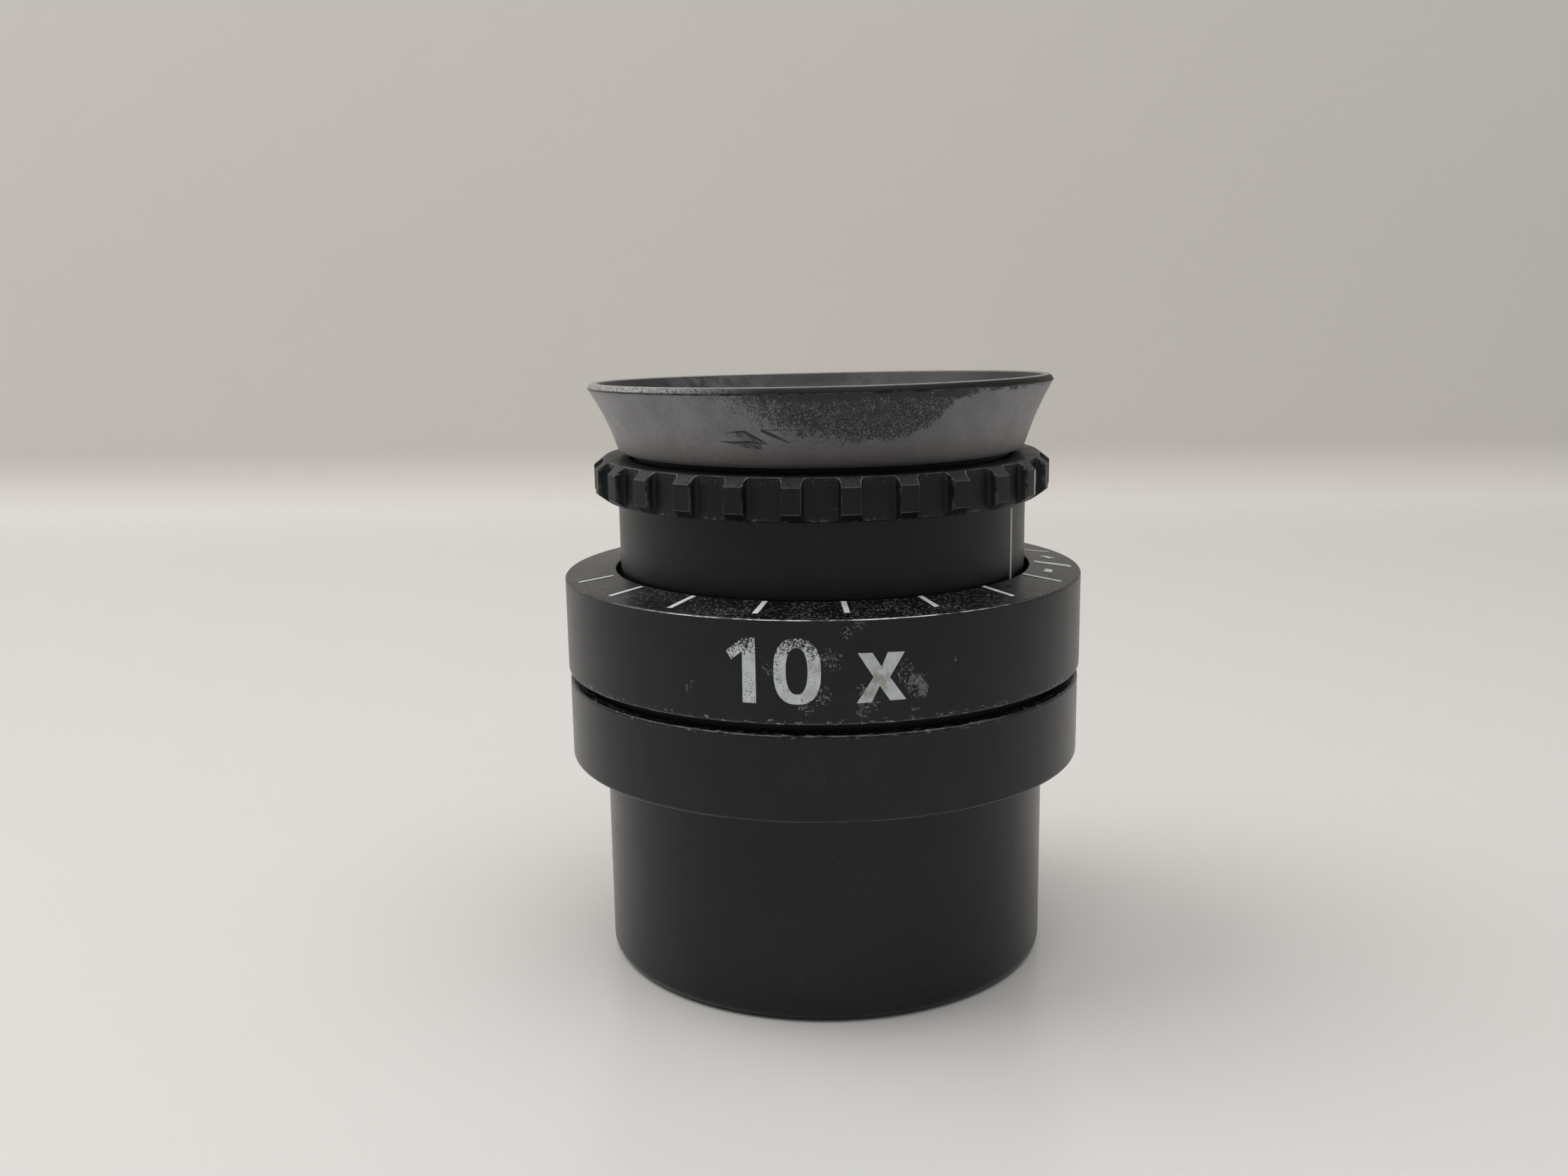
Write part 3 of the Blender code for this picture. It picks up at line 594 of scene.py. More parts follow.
def rubber():
    """Aged black rubber with a chalky grey bloom, worn off in places."""
    T = Tree("aged_eyecup_rubber")
    u = T.mul(T.az, 17.0)                       # arc from the front, mm
    z, zone = T.attr("flare_z"), T.attr("zone")
    inside, lip = T.step(zone, 1.4, 1.6), T.mul(T.step(zone, 0.4, 0.6), T.step(zone, 1.4, 1.6, 1.0, 0.0))
    outer = T.step(zone, 0.4, 0.6, 1.0, 0.0)
    cloud = T.noise(0.5, 4.0, 0.6, seed=31)
    cloud2 = T.noise(1.5, 4.0, 0.65, seed=32)
    curl = T.noise(4.8, 2.5, 0.65, distort=1.9, seed=33)
    fine = T.noise(10.0, 3.0, 0.65, distort=0.6, seed=34)
    fleck = T.add(T.mul(curl, 0.62), T.mul(fine, 0.38))
    # rubbed patch in front, and a fainter one behind
    edge = T.curve(u, PATCH)
    depth = T.add(T.math('SUBTRACT', z, edge), T.mul(T.math('SUBTRACT', cloud2, 0.5), 2.0))
    width = T.step(u, -2.0, 8.0, 2.7, 1.25)
    patch = T.step(T.math('DIVIDE', depth, width), -0.45, 0.60)
    patch = T.mul(patch, T.step(T.add(u, T.mul(T.math('SUBTRACT', cloud2, 0.5), 7.0)), -11.0, 0.5, 0.12, 1.0))
    ub = T.math('SUBTRACT', T.math('ABSOLUTE', u), 38.0)
    back = T.add(T.math('SUBTRACT', z, T.add(43.1, T.mul(T.mul(ub, ub), 0.02))), T.mul(T.math('SUBTRACT', cloud2, 0.5), 1.8))
    patch = T.math('MAXIMUM', patch, T.mul(T.step(back, -0.1, 1.4), 0.75))
    solid = T.mul(patch, T.step(z, 44.65, 45.1))
    level = T.add(T.step(patch, 0.0, 1.0, 0.34, 0.535), T.mul(solid, 0.08))
    bloom = T.step(T.math('SUBTRACT', fleck, level), -0.02, 0.045)
    # thin film of bloom between the flecks, and its general thickness
    bloom = T.math('MAXIMUM', bloom, T.step(patch, 0.0, 0.9, 0.74, 0.0))
    bloom = T.mul(bloom, T.step(fine, 0.32, 0.60, 0.74, 1.08))
    streak = T.noise(1.0, 4.0, 0.6, vec=T.vec(T.mul(u, 1.3), T.mul(z, 0.4), 0.0), seed=35)
    thick = T.mul(T.step(cloud, 0.25, 0.75, 0.90, 1.0), T.step(streak, 0.25, 0.75, 0.96, 1.02))
    # painted shade: the bloom is darker at the front centre and lighter towards the sides, standing in for sheen at
    # grazing angles; it is also darker towards the bottom
    mid = T.step(T.math('ABSOLUTE', T.math('SUBTRACT', u, 3.0)), 2.0, 13.0, 0.70, 1.0)
    low = T.step(z, 40.2, 41.8, 0.72, 1.0)
    bloom = T.mul(T.mul(T.mul(bloom, thick), T.mul(low, mid)), outer)
    dark = T.mix(cloud2, (0.006, 0.007, 0.0095), (0.013, 0.015, 0.019))
    grey = T.mix(T.step(cloud, 0.3, 0.7), (0.208, 0.208, 0.217), (0.247, 0.245, 0.253))
    grey = T.mix(T.step(z, 40.4, 43.0, 0.75, 0.0), grey, (0.205, 0.190, 0.182))
    col = T.mix(bloom, dark, grey)
    # lip: dark band, frosted on the left, thin pale line along its inner edge as a painted highlight on the rim's top,
    # dotted line along its foot
    col = T.mix(lip, col, (0.008, 0.0085, 0.010))
    left = T.step(u, -15.0, -3.0, 1.0, 0.0)
    frost = T.mul(T.mul(lip, left), T.mul(T.step(T.noise(5.5, 4.0, 0.75, seed=37), 0.38, 0.50), T.step(z, 45.32, 45.44)))
    col = T.mix(T.mul(frost, 0.90), col, (0.46, 0.46, 0.46))
    dots = T.step(T.math('SINE', T.mul(T.az, 760.0)), -0.1, 0.7)
    dots = T.mul(dots, T.mul(T.step(T.math('ABSOLUTE', T.math('SUBTRACT', z, 45.30)), 0.03, 0.08, 1.0, 0.0),
                             T.step(streak, 0.38, 0.60)))
    col = T.mix(T.mul(T.mul(dots, 0.55), T.math('SUBTRACT', 1.0, inside)), col, (0.27, 0.27, 0.27))
    # painted highlight: pale line along the rim's top
    edge_in = T.mul(T.mul(T.step(zone, 1.00, 1.07), T.step(zone, 1.5, 1.66, 1.0, 0.0)),
                    T.step(T.noise(2.2, 4.0, 0.7, seed=41), 0.25, 0.55, 0.45, 1.0))
    col = T.mix(T.mul(edge_in, 0.85), col, (0.34, 0.33, 0.315))
    # bowl: smooth dark rubber with drifts of pale bluish dust
    bowl = T.mix(T.step(cloud, 0.3, 0.7), (0.009, 0.010, 0.012), (0.018, 0.020, 0.024))
    haze = T.math('MAXIMUM', T.spot(T.x, T.y, -9.5, 13.5, 8.0, 0.1), T.mul(T.spot(T.x, T.y, 4.5, 16.5, 4.0, 0.1), 0.5))
    haze = T.mul(T.mul(haze, T.step(T.noise(0.8, 5.0, 0.65, seed=36), 0.36, 0.64)), T.step(z, 43.0, 45.2, 0.15, 1.0))
    bowl = T.mix(T.mul(haze, 0.60), bowl, (0.130, 0.155, 0.175))
    col = T.mix(T.step(zone, 1.62, 1.8), col, bowl)
    # scratches left of centre that cut through the bloom, with hatching between them
    wob = T.mul(T.math('SUBTRACT', fine, 0.5), 0.16)
    cuts = strokes(T, u, z, wob, SCRATCHES)
    hatch = T.mul(strokes(T, u, z, wob, HATCH), T.step(T.noise(1.0, 3.0, 0.6, vec=T.vec(
        T.mul(T.add(u, T.mul(z, 1.2)), 7.0), T.mul(T.add(z, T.mul(u, 0.5)), 2.0), 0.0), seed=42), 0.40, 0.52))
    cuts = T.mul(T.mul(T.math('MAXIMUM', cuts, T.mul(hatch, 0.8)), outer), T.math('LESS_THAN', T.y, 0.0))
    col = T.mix(T.mul(cuts, 0.96), col, (0.010, 0.011, 0.013))
    # little dark scabs on the right, white grains under the lip
    scab = T.mul(T.spot(u, z, 11.5, 43.7, 2.2, 0.2), T.step(fine, 0.60, 0.66))
    col = T.mix(T.mul(scab, 0.6), col, (0.05, 0.05, 0.05))
    grain = T.mul(T.specks(0.35, 0.10, 0.45, 43), T.mul(T.step(T.math('ABSOLUTE', T.math('SUBTRACT', z, 45.2)), 0.12, 0.25, 1.0, 0.0),
                  T.mul(T.step(u, 5.0, 9.0), T.step(u, 13.5, 15.5, 1.0, 0.0))))
    dust = T.mul(T.math('MAXIMUM', T.specks(1.1, 0.04, 0.14, 38), T.specks(2.6, 0.08, 0.10, 39)), 0.8)
    col = T.mix(T.mul(T.math('MAXIMUM', dust, grain), 0.75), col, (0.38, 0.37, 0.35))
    rgh = T.step(bloom, 0.0, 1.0, 0.48, 0.80)
    h = T.add(T.mul(bloom, 0.5), T.add(T.mul(fleck, 0.35), T.mul(T.noise(14.0, 2.0, 0.6, seed=40), 0.15)))
    T.bsdf.inputs["Sheen Roughness"].default_value = 0.5
    T.out(Base_Color=col, Roughness=rgh, Specular_IOR_Level=T.step(lip, 0.0, 1.0, 0.45, 0.20), Sheen_Weight=T.mul(bloom, 0.45),
          Normal=T.bump(h, 0.40, 0.020))
    return T.mat


MAT["rubber"] = rubber()


def glass(name, tint, coat):
    """Coated glass: the coating colours the reflection."""
    T = Tree(name)
    T.out(Base_Color=tint)
    T.bsdf.inputs["Roughness"].default_value = 0.0
    T.bsdf.inputs["Transmission Weight"].default_value = 1.0
    T.bsdf.inputs["IOR"].default_value = 1.52
    T.bsdf.inputs["Specular Tint"].default_value = coat
    return T.mat


MAT["glass_outer"] = glass("coated_eye_lens", (0.93, 0.96, 0.95), (0.27, 0.38, 0.24, 1.0))
MAT["glass_inner"] = glass("coated_inner_lens", (0.95, 0.97, 0.96), (0.20, 0.15, 0.27, 1.0))


def paint(name, colour, pits, seed, rough=0.62, stains=(), fade=None):
    """Filled marking with small curly pits. pits sets how many; fade adds more towards the top."""
    T = Tree(name)
    curl = T.noise(5.5, 2.0, 0.6, distort=1.6, seed=seed)
    patchy = T.noise(0.9, 3.0, 0.6, seed=seed + 1)
    lvl = T.add(T.mul(T.math('SUBTRACT', patchy, 0.5), 0.22), pits)
    if fade:                                    # (z lo, z hi, extra pits at the top)
        lvl = T.add(lvl, T.step(T.z, fade[0], fade[1], 0.0, fade[2]))
    gone = T.step(T.math('SUBTRACT', curl, lvl), -0.016, 0.016, 1.0, 0.0)
    shade = T.step(T.noise(1.3, 4.0, 0.6, seed=seed + 2), 0.3, 0.7)
    col = T.mix(shade, tuple(c * 0.84 for c in colour), tuple(c * 1.05 for c in colour))
    u = T.mul(T.az, 20.3)
    blot = T.step(T.noise(1.6, 4.0, 0.65, seed=seed + 3), 0.34, 0.60)
    for u0, v0, w, amount in stains:
        col = T.mix(T.mul(T.mul(T.spot(u, T.z, u0, v0, w, 0.15), blot), amount), col, (0.30, 0.265, 0.21))
    col = T.mix(gone, col, (0.012, 0.012, 0.013))
    T.out(Base_Color=col, Roughness=T.step(gone, 0.0, 1.0, rough, 0.45),
          Normal=T.bump(T.math('SUBTRACT', 1.0, gone), 0.4, 0.008))
    return T.mat


MAT["paint_ticks"] = paint("white_filled_scale", (0.84, 0.89, 0.91), 0.22, 61)
MAT["paint_index"] = paint("white_filled_index", (0.60, 0.59, 0.57), 0.20, 63)
MAT["paint_number"] = paint("white_filled_number", (0.69, 0.74, 0.77), 0.355, 65, fade=(27.3, 29.0, 0.19),
                            stains=((-0.4, 27.2, 1.0, 0.5), (-0.9, 25.2, 0.8, 0.35)))
MAT["paint_times"] = paint("white_filled_times", (0.62, 0.67, 0.70), 0.25, 67,
                           stains=((3.8, 26.5, 1.2, 0.8), (3.0, 25.5, 1.0, 0.7), (4.3, 25.9, 0.7, 0.5)))
MAT["smudge"] = paint("dried_grey_smudge", (0.17, 0.175, 0.17), 0.46, 69)


# ---------------------------------------------------------------------- pieces
def dress(ob, material, body, slot, *nodes):
    ob.data.materials.clear()
    ob.data.materials.append(MAT[material])
    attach(ob, body)
    if nodes:
        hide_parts(*nodes)
    return ob


def helix_tool(r0, r1, az0, az1, z0, z1, half, steps):
    verts, faces = [], []
    for i in range(steps + 1):
        t = i / steps
        a, z = radians(az0 + (az1 - az0) * t), z0 + (z1 - z0) * t
        for r, dz in ((r0, -half), (r1, -half), (r1, half), (r0, half)):
            verts.append((r * MM * cos(a), r * MM * sin(a), (z + dz) * MM))
    for i in range(steps):
        a, b = i * 4, i * 4 + 4
        for k in range(4):
            faces.append((a + k, a + (k + 1) % 4, b + (k + 1) % 4, b + k))
    faces.append((0, 1, 2, 3))
    faces.append((steps * 4, steps * 4 + 1, steps * 4 + 2, steps * 4 + 3))
    return mesh_object("tool", verts, faces)


JOINT = {j["name"]: j for j in frame["joints"]}
TURN_LO, TURN_HI = JOINT["diopter_turn"]["range_deg"]
COUPLE = {c["joint"]: c["ratio"] for c in frame["record"]["behaviour"]["couplings"]}
CAM_K = -COUPLE["ocular_slide"] * 1000 * pi / 180         # mm of head travel per degree
LIFT_K = COUPLE["eyecup_slide"] * 1000 * pi / 180
LIFT_TURN = JOINT["eyecup_turn"]["range_deg"][1]


def rod_tool(az, z, r0, r1, radius):
    return radial_rod("tool", az, z, [(0, r0), (radius, r0), (radius, r1), (0, r1)])


# mounting tube with its shoulder
tube = turned("tube_and_shoulder", rounded([
    (15.90, 0.0, 0.18, 4), (SPIGOT_R, 0.0, 0.78, 9), (SPIGOT_R, SEAT_Z), (FLANGE_R, SEAT_Z, 0.28, 5),
    (FLANGE_R, FLANGE_TOP, 0.20, 5), (19.30, FLANGE_TOP, 0.10, 3), (19.30, 16.90), (15.90, 16.90)]))
cut(tube, [rod_tool(90.0, 19.6, 18.7, 20.9, 1.20)])
dress(tube, "tube", "root", "anodised_tube", "mount_tube")

# dioptre ring
ring = turned("scale_ring", rounded([
    (19.30, RING_BOT, 0.12, 3), (RING_R, RING_BOT, 0.22, 5), (RING_R, 30.36, 0.04, 3),
    (20.19, 30.478, 0.04, 3), (16.30, RING_TOP, 0.16, 4), (16.30, 29.60), (19.30, 29.60)]))
cut(ring, [rod_tool(az, 26.4, 18.7, 20.9, 1.10) for az in (45.0, 135.0)])
dress(ring, "ring", "diopter", "anodised_scale", "diopter_ring")

# sleeve that carries the index line
sleeve = turned("index_sleeve", rounded([
    (14.90, SLEEVE_BOT), (SLEEVE_R, SLEEVE_BOT, 0.18, 4), (SLEEVE_R, SLEEVE_TOP + 0.22, 0.08, 4),
    (15.40, SLEEVE_TOP + 0.22, 0.08, 2), (15.40, 30.30), (14.90, 30.30)]))
cut(sleeve, [rod_tool(az, 24.0, 14.2, 16.6, 0.85) for az in (0.0, 180.0)])
dress(sleeve, "sleeve", "ocular", "anodised_sleeve", "ocular_sleeve")

# lens barrel with its neck: lift groove and key slot
barrel = turned("lens_barrel", rounded([
    (12.00, 18.00, 0.10, 2), (14.10, 18.00, 0.15, 3), (14.10, 22.25), (14.60, 22.25), (14.60, 30.15, 0.12, 3),
    (13.60, 30.15), (13.60, 41.20, 0.22, 5), (12.70, 41.20, 0.10, 3), (12.70, 39.60), (12.00, 39.60)]), segs=144)
cut(barrel, [helix_tool(13.05, 14.4, 120.0 - 3, 120.0 + LIFT_TURN + 3, 34.0 - 3 * LIFT_K,
                        34.0 + (LIFT_TURN + 3) * LIFT_K, 0.85, 100),
             box_tool(90.0, 31.2, 37.5, 13.05, 14.4, 2.0)])
dress(barrel, "inner", "ocular", "anodised_inner", "optics_barrel")

# ring that clamps the eye lens, with two spanner slots
clamp = turned("eye_lens_clamp_ring", rounded([
    (11.00, 40.00), (12.40, 39.90), (12.40, 41.05, 0.10, 3), (11.50, 41.05, 0.08, 3), (11.00, 40.60, 0.08, 3)]), segs=144)
cut(clamp, [box_tool(az, 40.55, 41.6, 10.5, 13.0, 1.2) for az in (0.0, 180.0)])
dress(clamp, "retainer", "ocular", "anodised_inner", "eye_lens_retainer")

# lenses
for name, lower, upper, mat in (
        ("eye_lens", (38.0, 37.60, -1), (90.0, 39.60, 1), "glass_outer"),
        ("upper_doublet_crown", (30.0, 33.00, -1), (45.0, 33.80, 1), "glass_inner"),
        ("upper_doublet_flint", (None, 28.60, 0), (30.0, 32.70, -1), "glass_inner"),
        ("lower_doublet_crown", (34.0, 23.50, -1), (60.0, 24.40, 1), "glass_inner"),
        ("lower_doublet_flint", (None, 20.00, 0), (34.0, 23.20, -1), "glass_inner")):
    dress(lens_piece(name + "_polished", lower, upper, 11.70), mat, "ocular", "lens_glass", name)

# blackened rings inside: fine baffle grooves on their inner walls
def baffled(r_in, r_out, z0, z1, pitch=0.42, depth=0.16):
    pts = [(r_out, z0), (r_out, z1), (r_in, z1)]
    n = max(2, int((z1 - z0 - 0.3) / pitch))
    p = (z1 - z0 - 0.3) / n
    for i in range(n):
        a = z1 - 0.15 - p * i
        pts += [(r_in, a - 0.02), (r_in + depth, a - p * 0.5), (r_in, a - p + 0.02)]
    return pts + [(r_in, z0)]


for name, r_in, z0, z1 in (("upper_spacer", 11.10, 34.25, 37.15), ("lower_spacer", 10.70, 24.75, 28.30),
                           ("field_lens_retainer", 10.40, 18.10, 19.70)):
    dress(turned(name + "_baffled", baffled(r_in, 11.70, z0, z1), segs=120), "inner", "ocular", "anodised_inner", name)

guide = turned("guide_barrel_slotted", rounded([
    (14.50, 10.50, 0.10, 2), (15.60, 10.50, 0.15, 3), (15.60, 17.20), (18.80, 17.20), (18.80, 18.10, 0.1, 2),
    (17.20, 18.10), (17.20, 29.20, 0.12, 3), (16.25, 29.20), (16.25, 17.40), (14.50, 17.40)]), segs=144)
cut(guide, [box_tool(az, 24.0 - TURN_HI * CAM_K - 0.95, 24.0 - TURN_LO * CAM_K + 0.95, 15.4, 18.0, 1.7)
            for az in (0.0, 180.0)])
dress(guide, "inner", "root", "anodised_inner", "guide_barrel")
dress(turned("guide_lock_ring_turned", rounded([
    (13.80, 8.20, 0.2, 3), (15.60, 8.20, 0.12, 3), (15.60, 10.20), (13.80, 10.20)]), segs=144),
    "inner", "root", "anodised_inner", "guide_lock_ring")
dress(turned("field_stop_aperture", rounded([
    (11.00, 6.10), (11.30, 5.90), (15.60, 5.90, 0.1, 2), (15.60, 7.90), (14.40, 7.90, 0.1, 2), (14.40, 6.80),
    (11.30, 6.60), (11.00, 6.30)]), segs=144), "inner", "root", "anodised_inner", "field_stop")
under = turned("field_stop_clamp_ring", rounded([
    (13.60, 3.60, 0.25, 4), (15.60, 3.60, 0.12, 3), (15.60, 5.60), (13.60, 5.60)]), segs=144)
cut(under, [box_tool(az, 3.2, 4.4, 13.0, 16.2, 1.3) for az in (0.0, 180.0)])
dress(under, "retainer", "root", "anodised_inner", "field_stop_retainer")

# cam barrel: two helical grooves inside, the stop groove outside
cam = turned("cam_barrel_grooved", rounded([
    (17.50, 18.40, 0.1, 2), (19.00, 18.40, 0.12, 3), (19.00, 29.20, 0.12, 3), (17.50, 29.20, 0.1, 2)]), segs=144)
cut(cam, [helix_tool(16.7, 18.2, az - TURN_HI - 3, az - TURN_LO + 3, 24.0 - (TURN_HI + 3) * CAM_K,
                     24.0 + (-TURN_LO + 3) * CAM_K, 0.85, 90) for az in (0.0, 180.0)]
    + [helix_tool(18.6, 19.8, 90 - TURN_HI - 2.6, 90 - TURN_LO + 2.6, 19.6, 19.6, 0.80, 80)]
    + [rod_tool(az, 26.4, 18.62, 19.6, 1.10) for az in (45.0, 135.0)])
dress(cam, "brass", "diopter", "cam_brass", "cam_barrel")

# slotted grub screws
def grub(name, az, z, r0, r1, rad, tip=None):
    prof = [(0, r0), (rad - 0.1, r0), (rad, r0 + 0.1), (rad, r1 - 0.12), (rad - 0.12, r1), (0, r1)]
    if tip:
        prof = [(0, r0), (tip[0] - 0.08, r0), (tip[0], r0 + 0.08), (tip[0], tip[1]), (rad, tip[1] + 0.05),
                (rad, r1 - 0.12), (rad - 0.12, r1), (0, r1)]
    ob = radial_rod(name, az, z, prof)
    return cut(ob, [box_tool(az, z - 0.14, z + 0.14, r1 - 0.35, r1 + 0.5, 2.6)])


dress(grub("stop_screw_slotted", 90.0, 19.6, 18.75, 20.05, 0.90, (0.5, 19.45)), "steel", "root", "pin_steel", "stop_screw")
for i, az in enumerate((45.0, 135.0), 1):
    dress(grub("ring_screw_slotted_%d" % i, az, 26.4, 18.85, 20.05, 0.80), "steel", "diopter", "pin_steel", "ring_screw_%d" % i)


# toothed grip ring
def crest(z):
    """Radius of the turned blank at height z: a band with two chamfers."""
    pts = ((GRIP_BOT, 16.93), (37.12, TOOTH_R), (39.00, TOOTH_R), (39.62, 16.95))
    for (z0, r0), (z1, r1) in zip(pts, pts[1:]):
        if z <= z1:
            return r0 + (r1 - r0) * (z - z0) / (z1 - z0)
    return pts[-1][1]


ROOT_R = 17.0


def recess(s):
    """Radius of the milled recess at an arc s from the tooth's centre."""
    if s >= FOOT:
        return ROOT_R
    if s <= CREST_HALF:
        return TOOTH_R + (CREST_HALF - s) * 18.0
    t = (FOOT - s) / (FOOT - CREST_HALF)
    return TOOTH_R - (TOOTH_R - ROOT_R) * (1 - t ** 3.2) ** (1 / 2.0)


CORNER = 0.38                        # corner radius of the recesses, seen from outside


def corner(z):
    """How far a recess is narrowed at height z by its rounded corners."""
    d = max(z - (39.60 - CORNER), (GRIP_BOT + CORNER) - z, 0.0)
    return CORNER - sqrt(max(CORNER ** 2 - min(d, CORNER) ** 2, 0.0))


def smooth_min(a, b, k):
    h = max(k - abs(a - b), 0.0) / k
    return min(a, b) - h * h * k * 0.25


def grip():
    half = (PITCH / 2) * pi / 180 * 17.4
    c, f = CREST_HALF, FOOT
    ss = [0.0, 0.25, 0.50, c - 0.07, c - 0.03, c - 0.012, c, c + 0.012, c + 0.03] + [c + 0.03 + (f - c - 0.03) * k / 7 for k in range(1, 8)]
    ss += [f + 0.02, f + 0.08, f + 0.14, f + 0.20, f + 0.27, f + 0.34, f + 0.42, 1.75]
    arcs = [-s for s in reversed(ss[1:])] + ss + [half]
    zs = [GRIP_BOT + 0.60 * k / 9 for k in range(9)] + [37.09, 37.12, 37.15, 37.20, 37.5, 37.9, 38.3, 38.65,
          38.92, 38.97, 39.00, 39.03] + [39.03 + 0.59 * k / 10 for k in range(1, 11)]
    inner = rounded([(16.93, 39.62), (16.80, GRIP_TOP, 0.05, 2), (15.00, GRIP_TOP, 0.10, 3), (15.00, 38.22), (15.09, 38.22),
                     (15.09, 36.50), (16.85, 36.50), (16.93, GRIP_BOT)])
    inner = [p for p in inner if (Vector(p) - Vector((16.93, 39.62))).length > 1e-4
             and (Vector(p) - Vector((16.93, GRIP_BOT))).length > 0.035]
    # the closing span between the two ends of the band is the toothed face itself
    keep = [(r, z) for r, z in inner if not (r > 16.9 and GRIP_BOT + 0.02 < z < 39.6)]
    verts, faces = [], []
    n = len(zs) + len(keep)
    cols = 0
    for k in range(TEETH):
        centre = TOOTH_AZ0 + k * PITCH
        for s in arcs:
            az = radians(centre) + s / 17.4
            for z in zs:
                r = smooth_min(crest(z), recess(max(abs(s) - corner(z), 0.0)), 0.05)
                verts.append((r * MM * cos(az), r * MM * sin(az), z * MM))
            for r, z in keep:
                verts.append((r * MM * cos(az), r * MM * sin(az), z * MM))
            cols += 1
    for i in range(cols):
        a, b = i * n, ((i + 1) % cols) * n
        for k in range(n):
            k2 = (k + 1) % n
            faces.append((a + k, b + k, b + k2, a + k2))
    return mesh_object("toothed_grip_ring", verts, faces, 50.0)


dress(grip(), "grip", "eyecup_assembly", "grip_plastic", "grip_ring")
skirt = turned("grip_ring_skirt", rounded([
    (13.90, 32.80), (14.75, 32.80), (14.75, 31.50, 0.08, 2), (15.10, 31.50, 0.10, 3), (15.10, 38.20), (13.90, 38.20, 0.10, 2)]),
    segs=144)
cut(skirt, [rod_tool(120.0, 34.0, 13.3, 15.7, 0.85)])
dress(skirt, "hub", "eyecup_assembly", "grip_plastic", "grip_ring")

hub = turned("eyecup_hub_beaded", rounded([
    (13.90, 38.50), (14.70, 38.50, 0.08, 2), (14.70, 41.60), (15.30, 41.60, 0.15, 3), (15.30, 42.20, 0.15, 3),
    (13.90, 42.20, 0.12, 3)]), segs=144)
dress(hub, "hub", "eyecup_assembly", "grip_plastic", "eyecup_hub")


# rubber eyecup
def spline(pts, per=5):
    out = []
    for i in range(len(pts) - 1):
        p0, p1, p2, p3 = pts[max(i - 1, 0)], pts[i], pts[i + 1], pts[min(i + 2, len(pts) - 1)]
        for k in range(per):
            t = k / per
            out.append(tuple(0.5 * ((2 * p1[j]) + (-p0[j] + p2[j]) * t + (2 * p0[j] - 5 * p1[j] + 4 * p2[j] - p3[j]) * t * t
                                    + (-p0[j] + 3 * p1[j] - 3 * p2[j] + p3[j]) * t ** 3) for j in (0, 1)))
    out.append(pts[-1])
    return out


flare = spline([(15.15, 40.05), (15.50, 40.07), (15.76, 40.22), (15.92, 40.55), (16.07, 41.00), (16.22, 41.42), (16.42, 41.95),
                (16.62, 42.45), (16.86, 43.00), (17.12, 43.55), (17.38, 44.08), (17.66, 44.60), (17.90, 45.06), (17.97, 45.22)], 5)
lip = [(17.985, 45.25), (18.02, 45.275), (18.05, 45.295), (18.065, 45.325), (18.06, 45.36), (18.03, 45.42), (17.98, 45.50),
       (17.93, 45.58), (17.87, 45.65), (17.80, 45.71), (17.72, 45.75), (17.62, 45.77)]
rim = [(17.52, 45.775), (17.42, 45.76), (17.33, 45.72), (17.26, 45.66), (17.19, 45.57)]
bowl = spline([(17.10, 45.44), (16.90, 45.12), (16.45, 44.45), (15.85, 43.88), (15.20, 43.44), (14.65, 43.16), (14.30, 42.99),
               (14.16, 42.84), (14.16, 42.60)], 5)
foot = [(14.22, 42.52), (14.30, 42.50), (15.56, 42.50), (15.60, 42.46), (15.60, 41.34), (15.56, 41.30), (15.09, 41.30),
        (15.05, 41.26), (15.05, 40.15)]
outline = flare + lip + rim + bowl + foot
zones = ([0.0] * len(flare) + [0.7 + 0.4 * k / (len(lip) - 1) for k in range(len(lip))]
         + [1.25, 1.38, 1.5, 1.62, 1.72] + [2.0] * (len(bowl) + len(foot)))


def soft(az, r, z):
    """The soft rim sits slightly askew: lower at both sides and lowest at the back."""
    w = max(0.0, (z - 41.0) / 4.6) ** 1.3
    x, y = cos(az), sin(az)
    dz = w * (-0.37 + 0.13 * x - 0.40 * y + 0.05 * cos(2 * az))
    dr = w * (-0.07 - 0.06 * x + 0.015 * cos(3 * az + 1.0))
    dr += 0.005 * w * noise.noise(Vector((x * 6, y * 6, z * 0.7)))
    return min(r + dr, CUP_R + 0.1), min(z + dz, CUP_TOP + 0.1)


cup = turned("rubber_eyecup", outline, segs=256, move=soft, sharp=60.0)
for label, values in (("flare_z", [z for _, z in outline]), ("zone", zones)):
    a = cup.data.attributes.new(label, 'FLOAT', 'POINT')
    a.data.foreach_set("value", [values[i % len(outline)] for i in range(len(cup.data.vertices))])
dress(cup, "rubber", "eyecup_assembly", "eyecup_rubber", "eyecup")


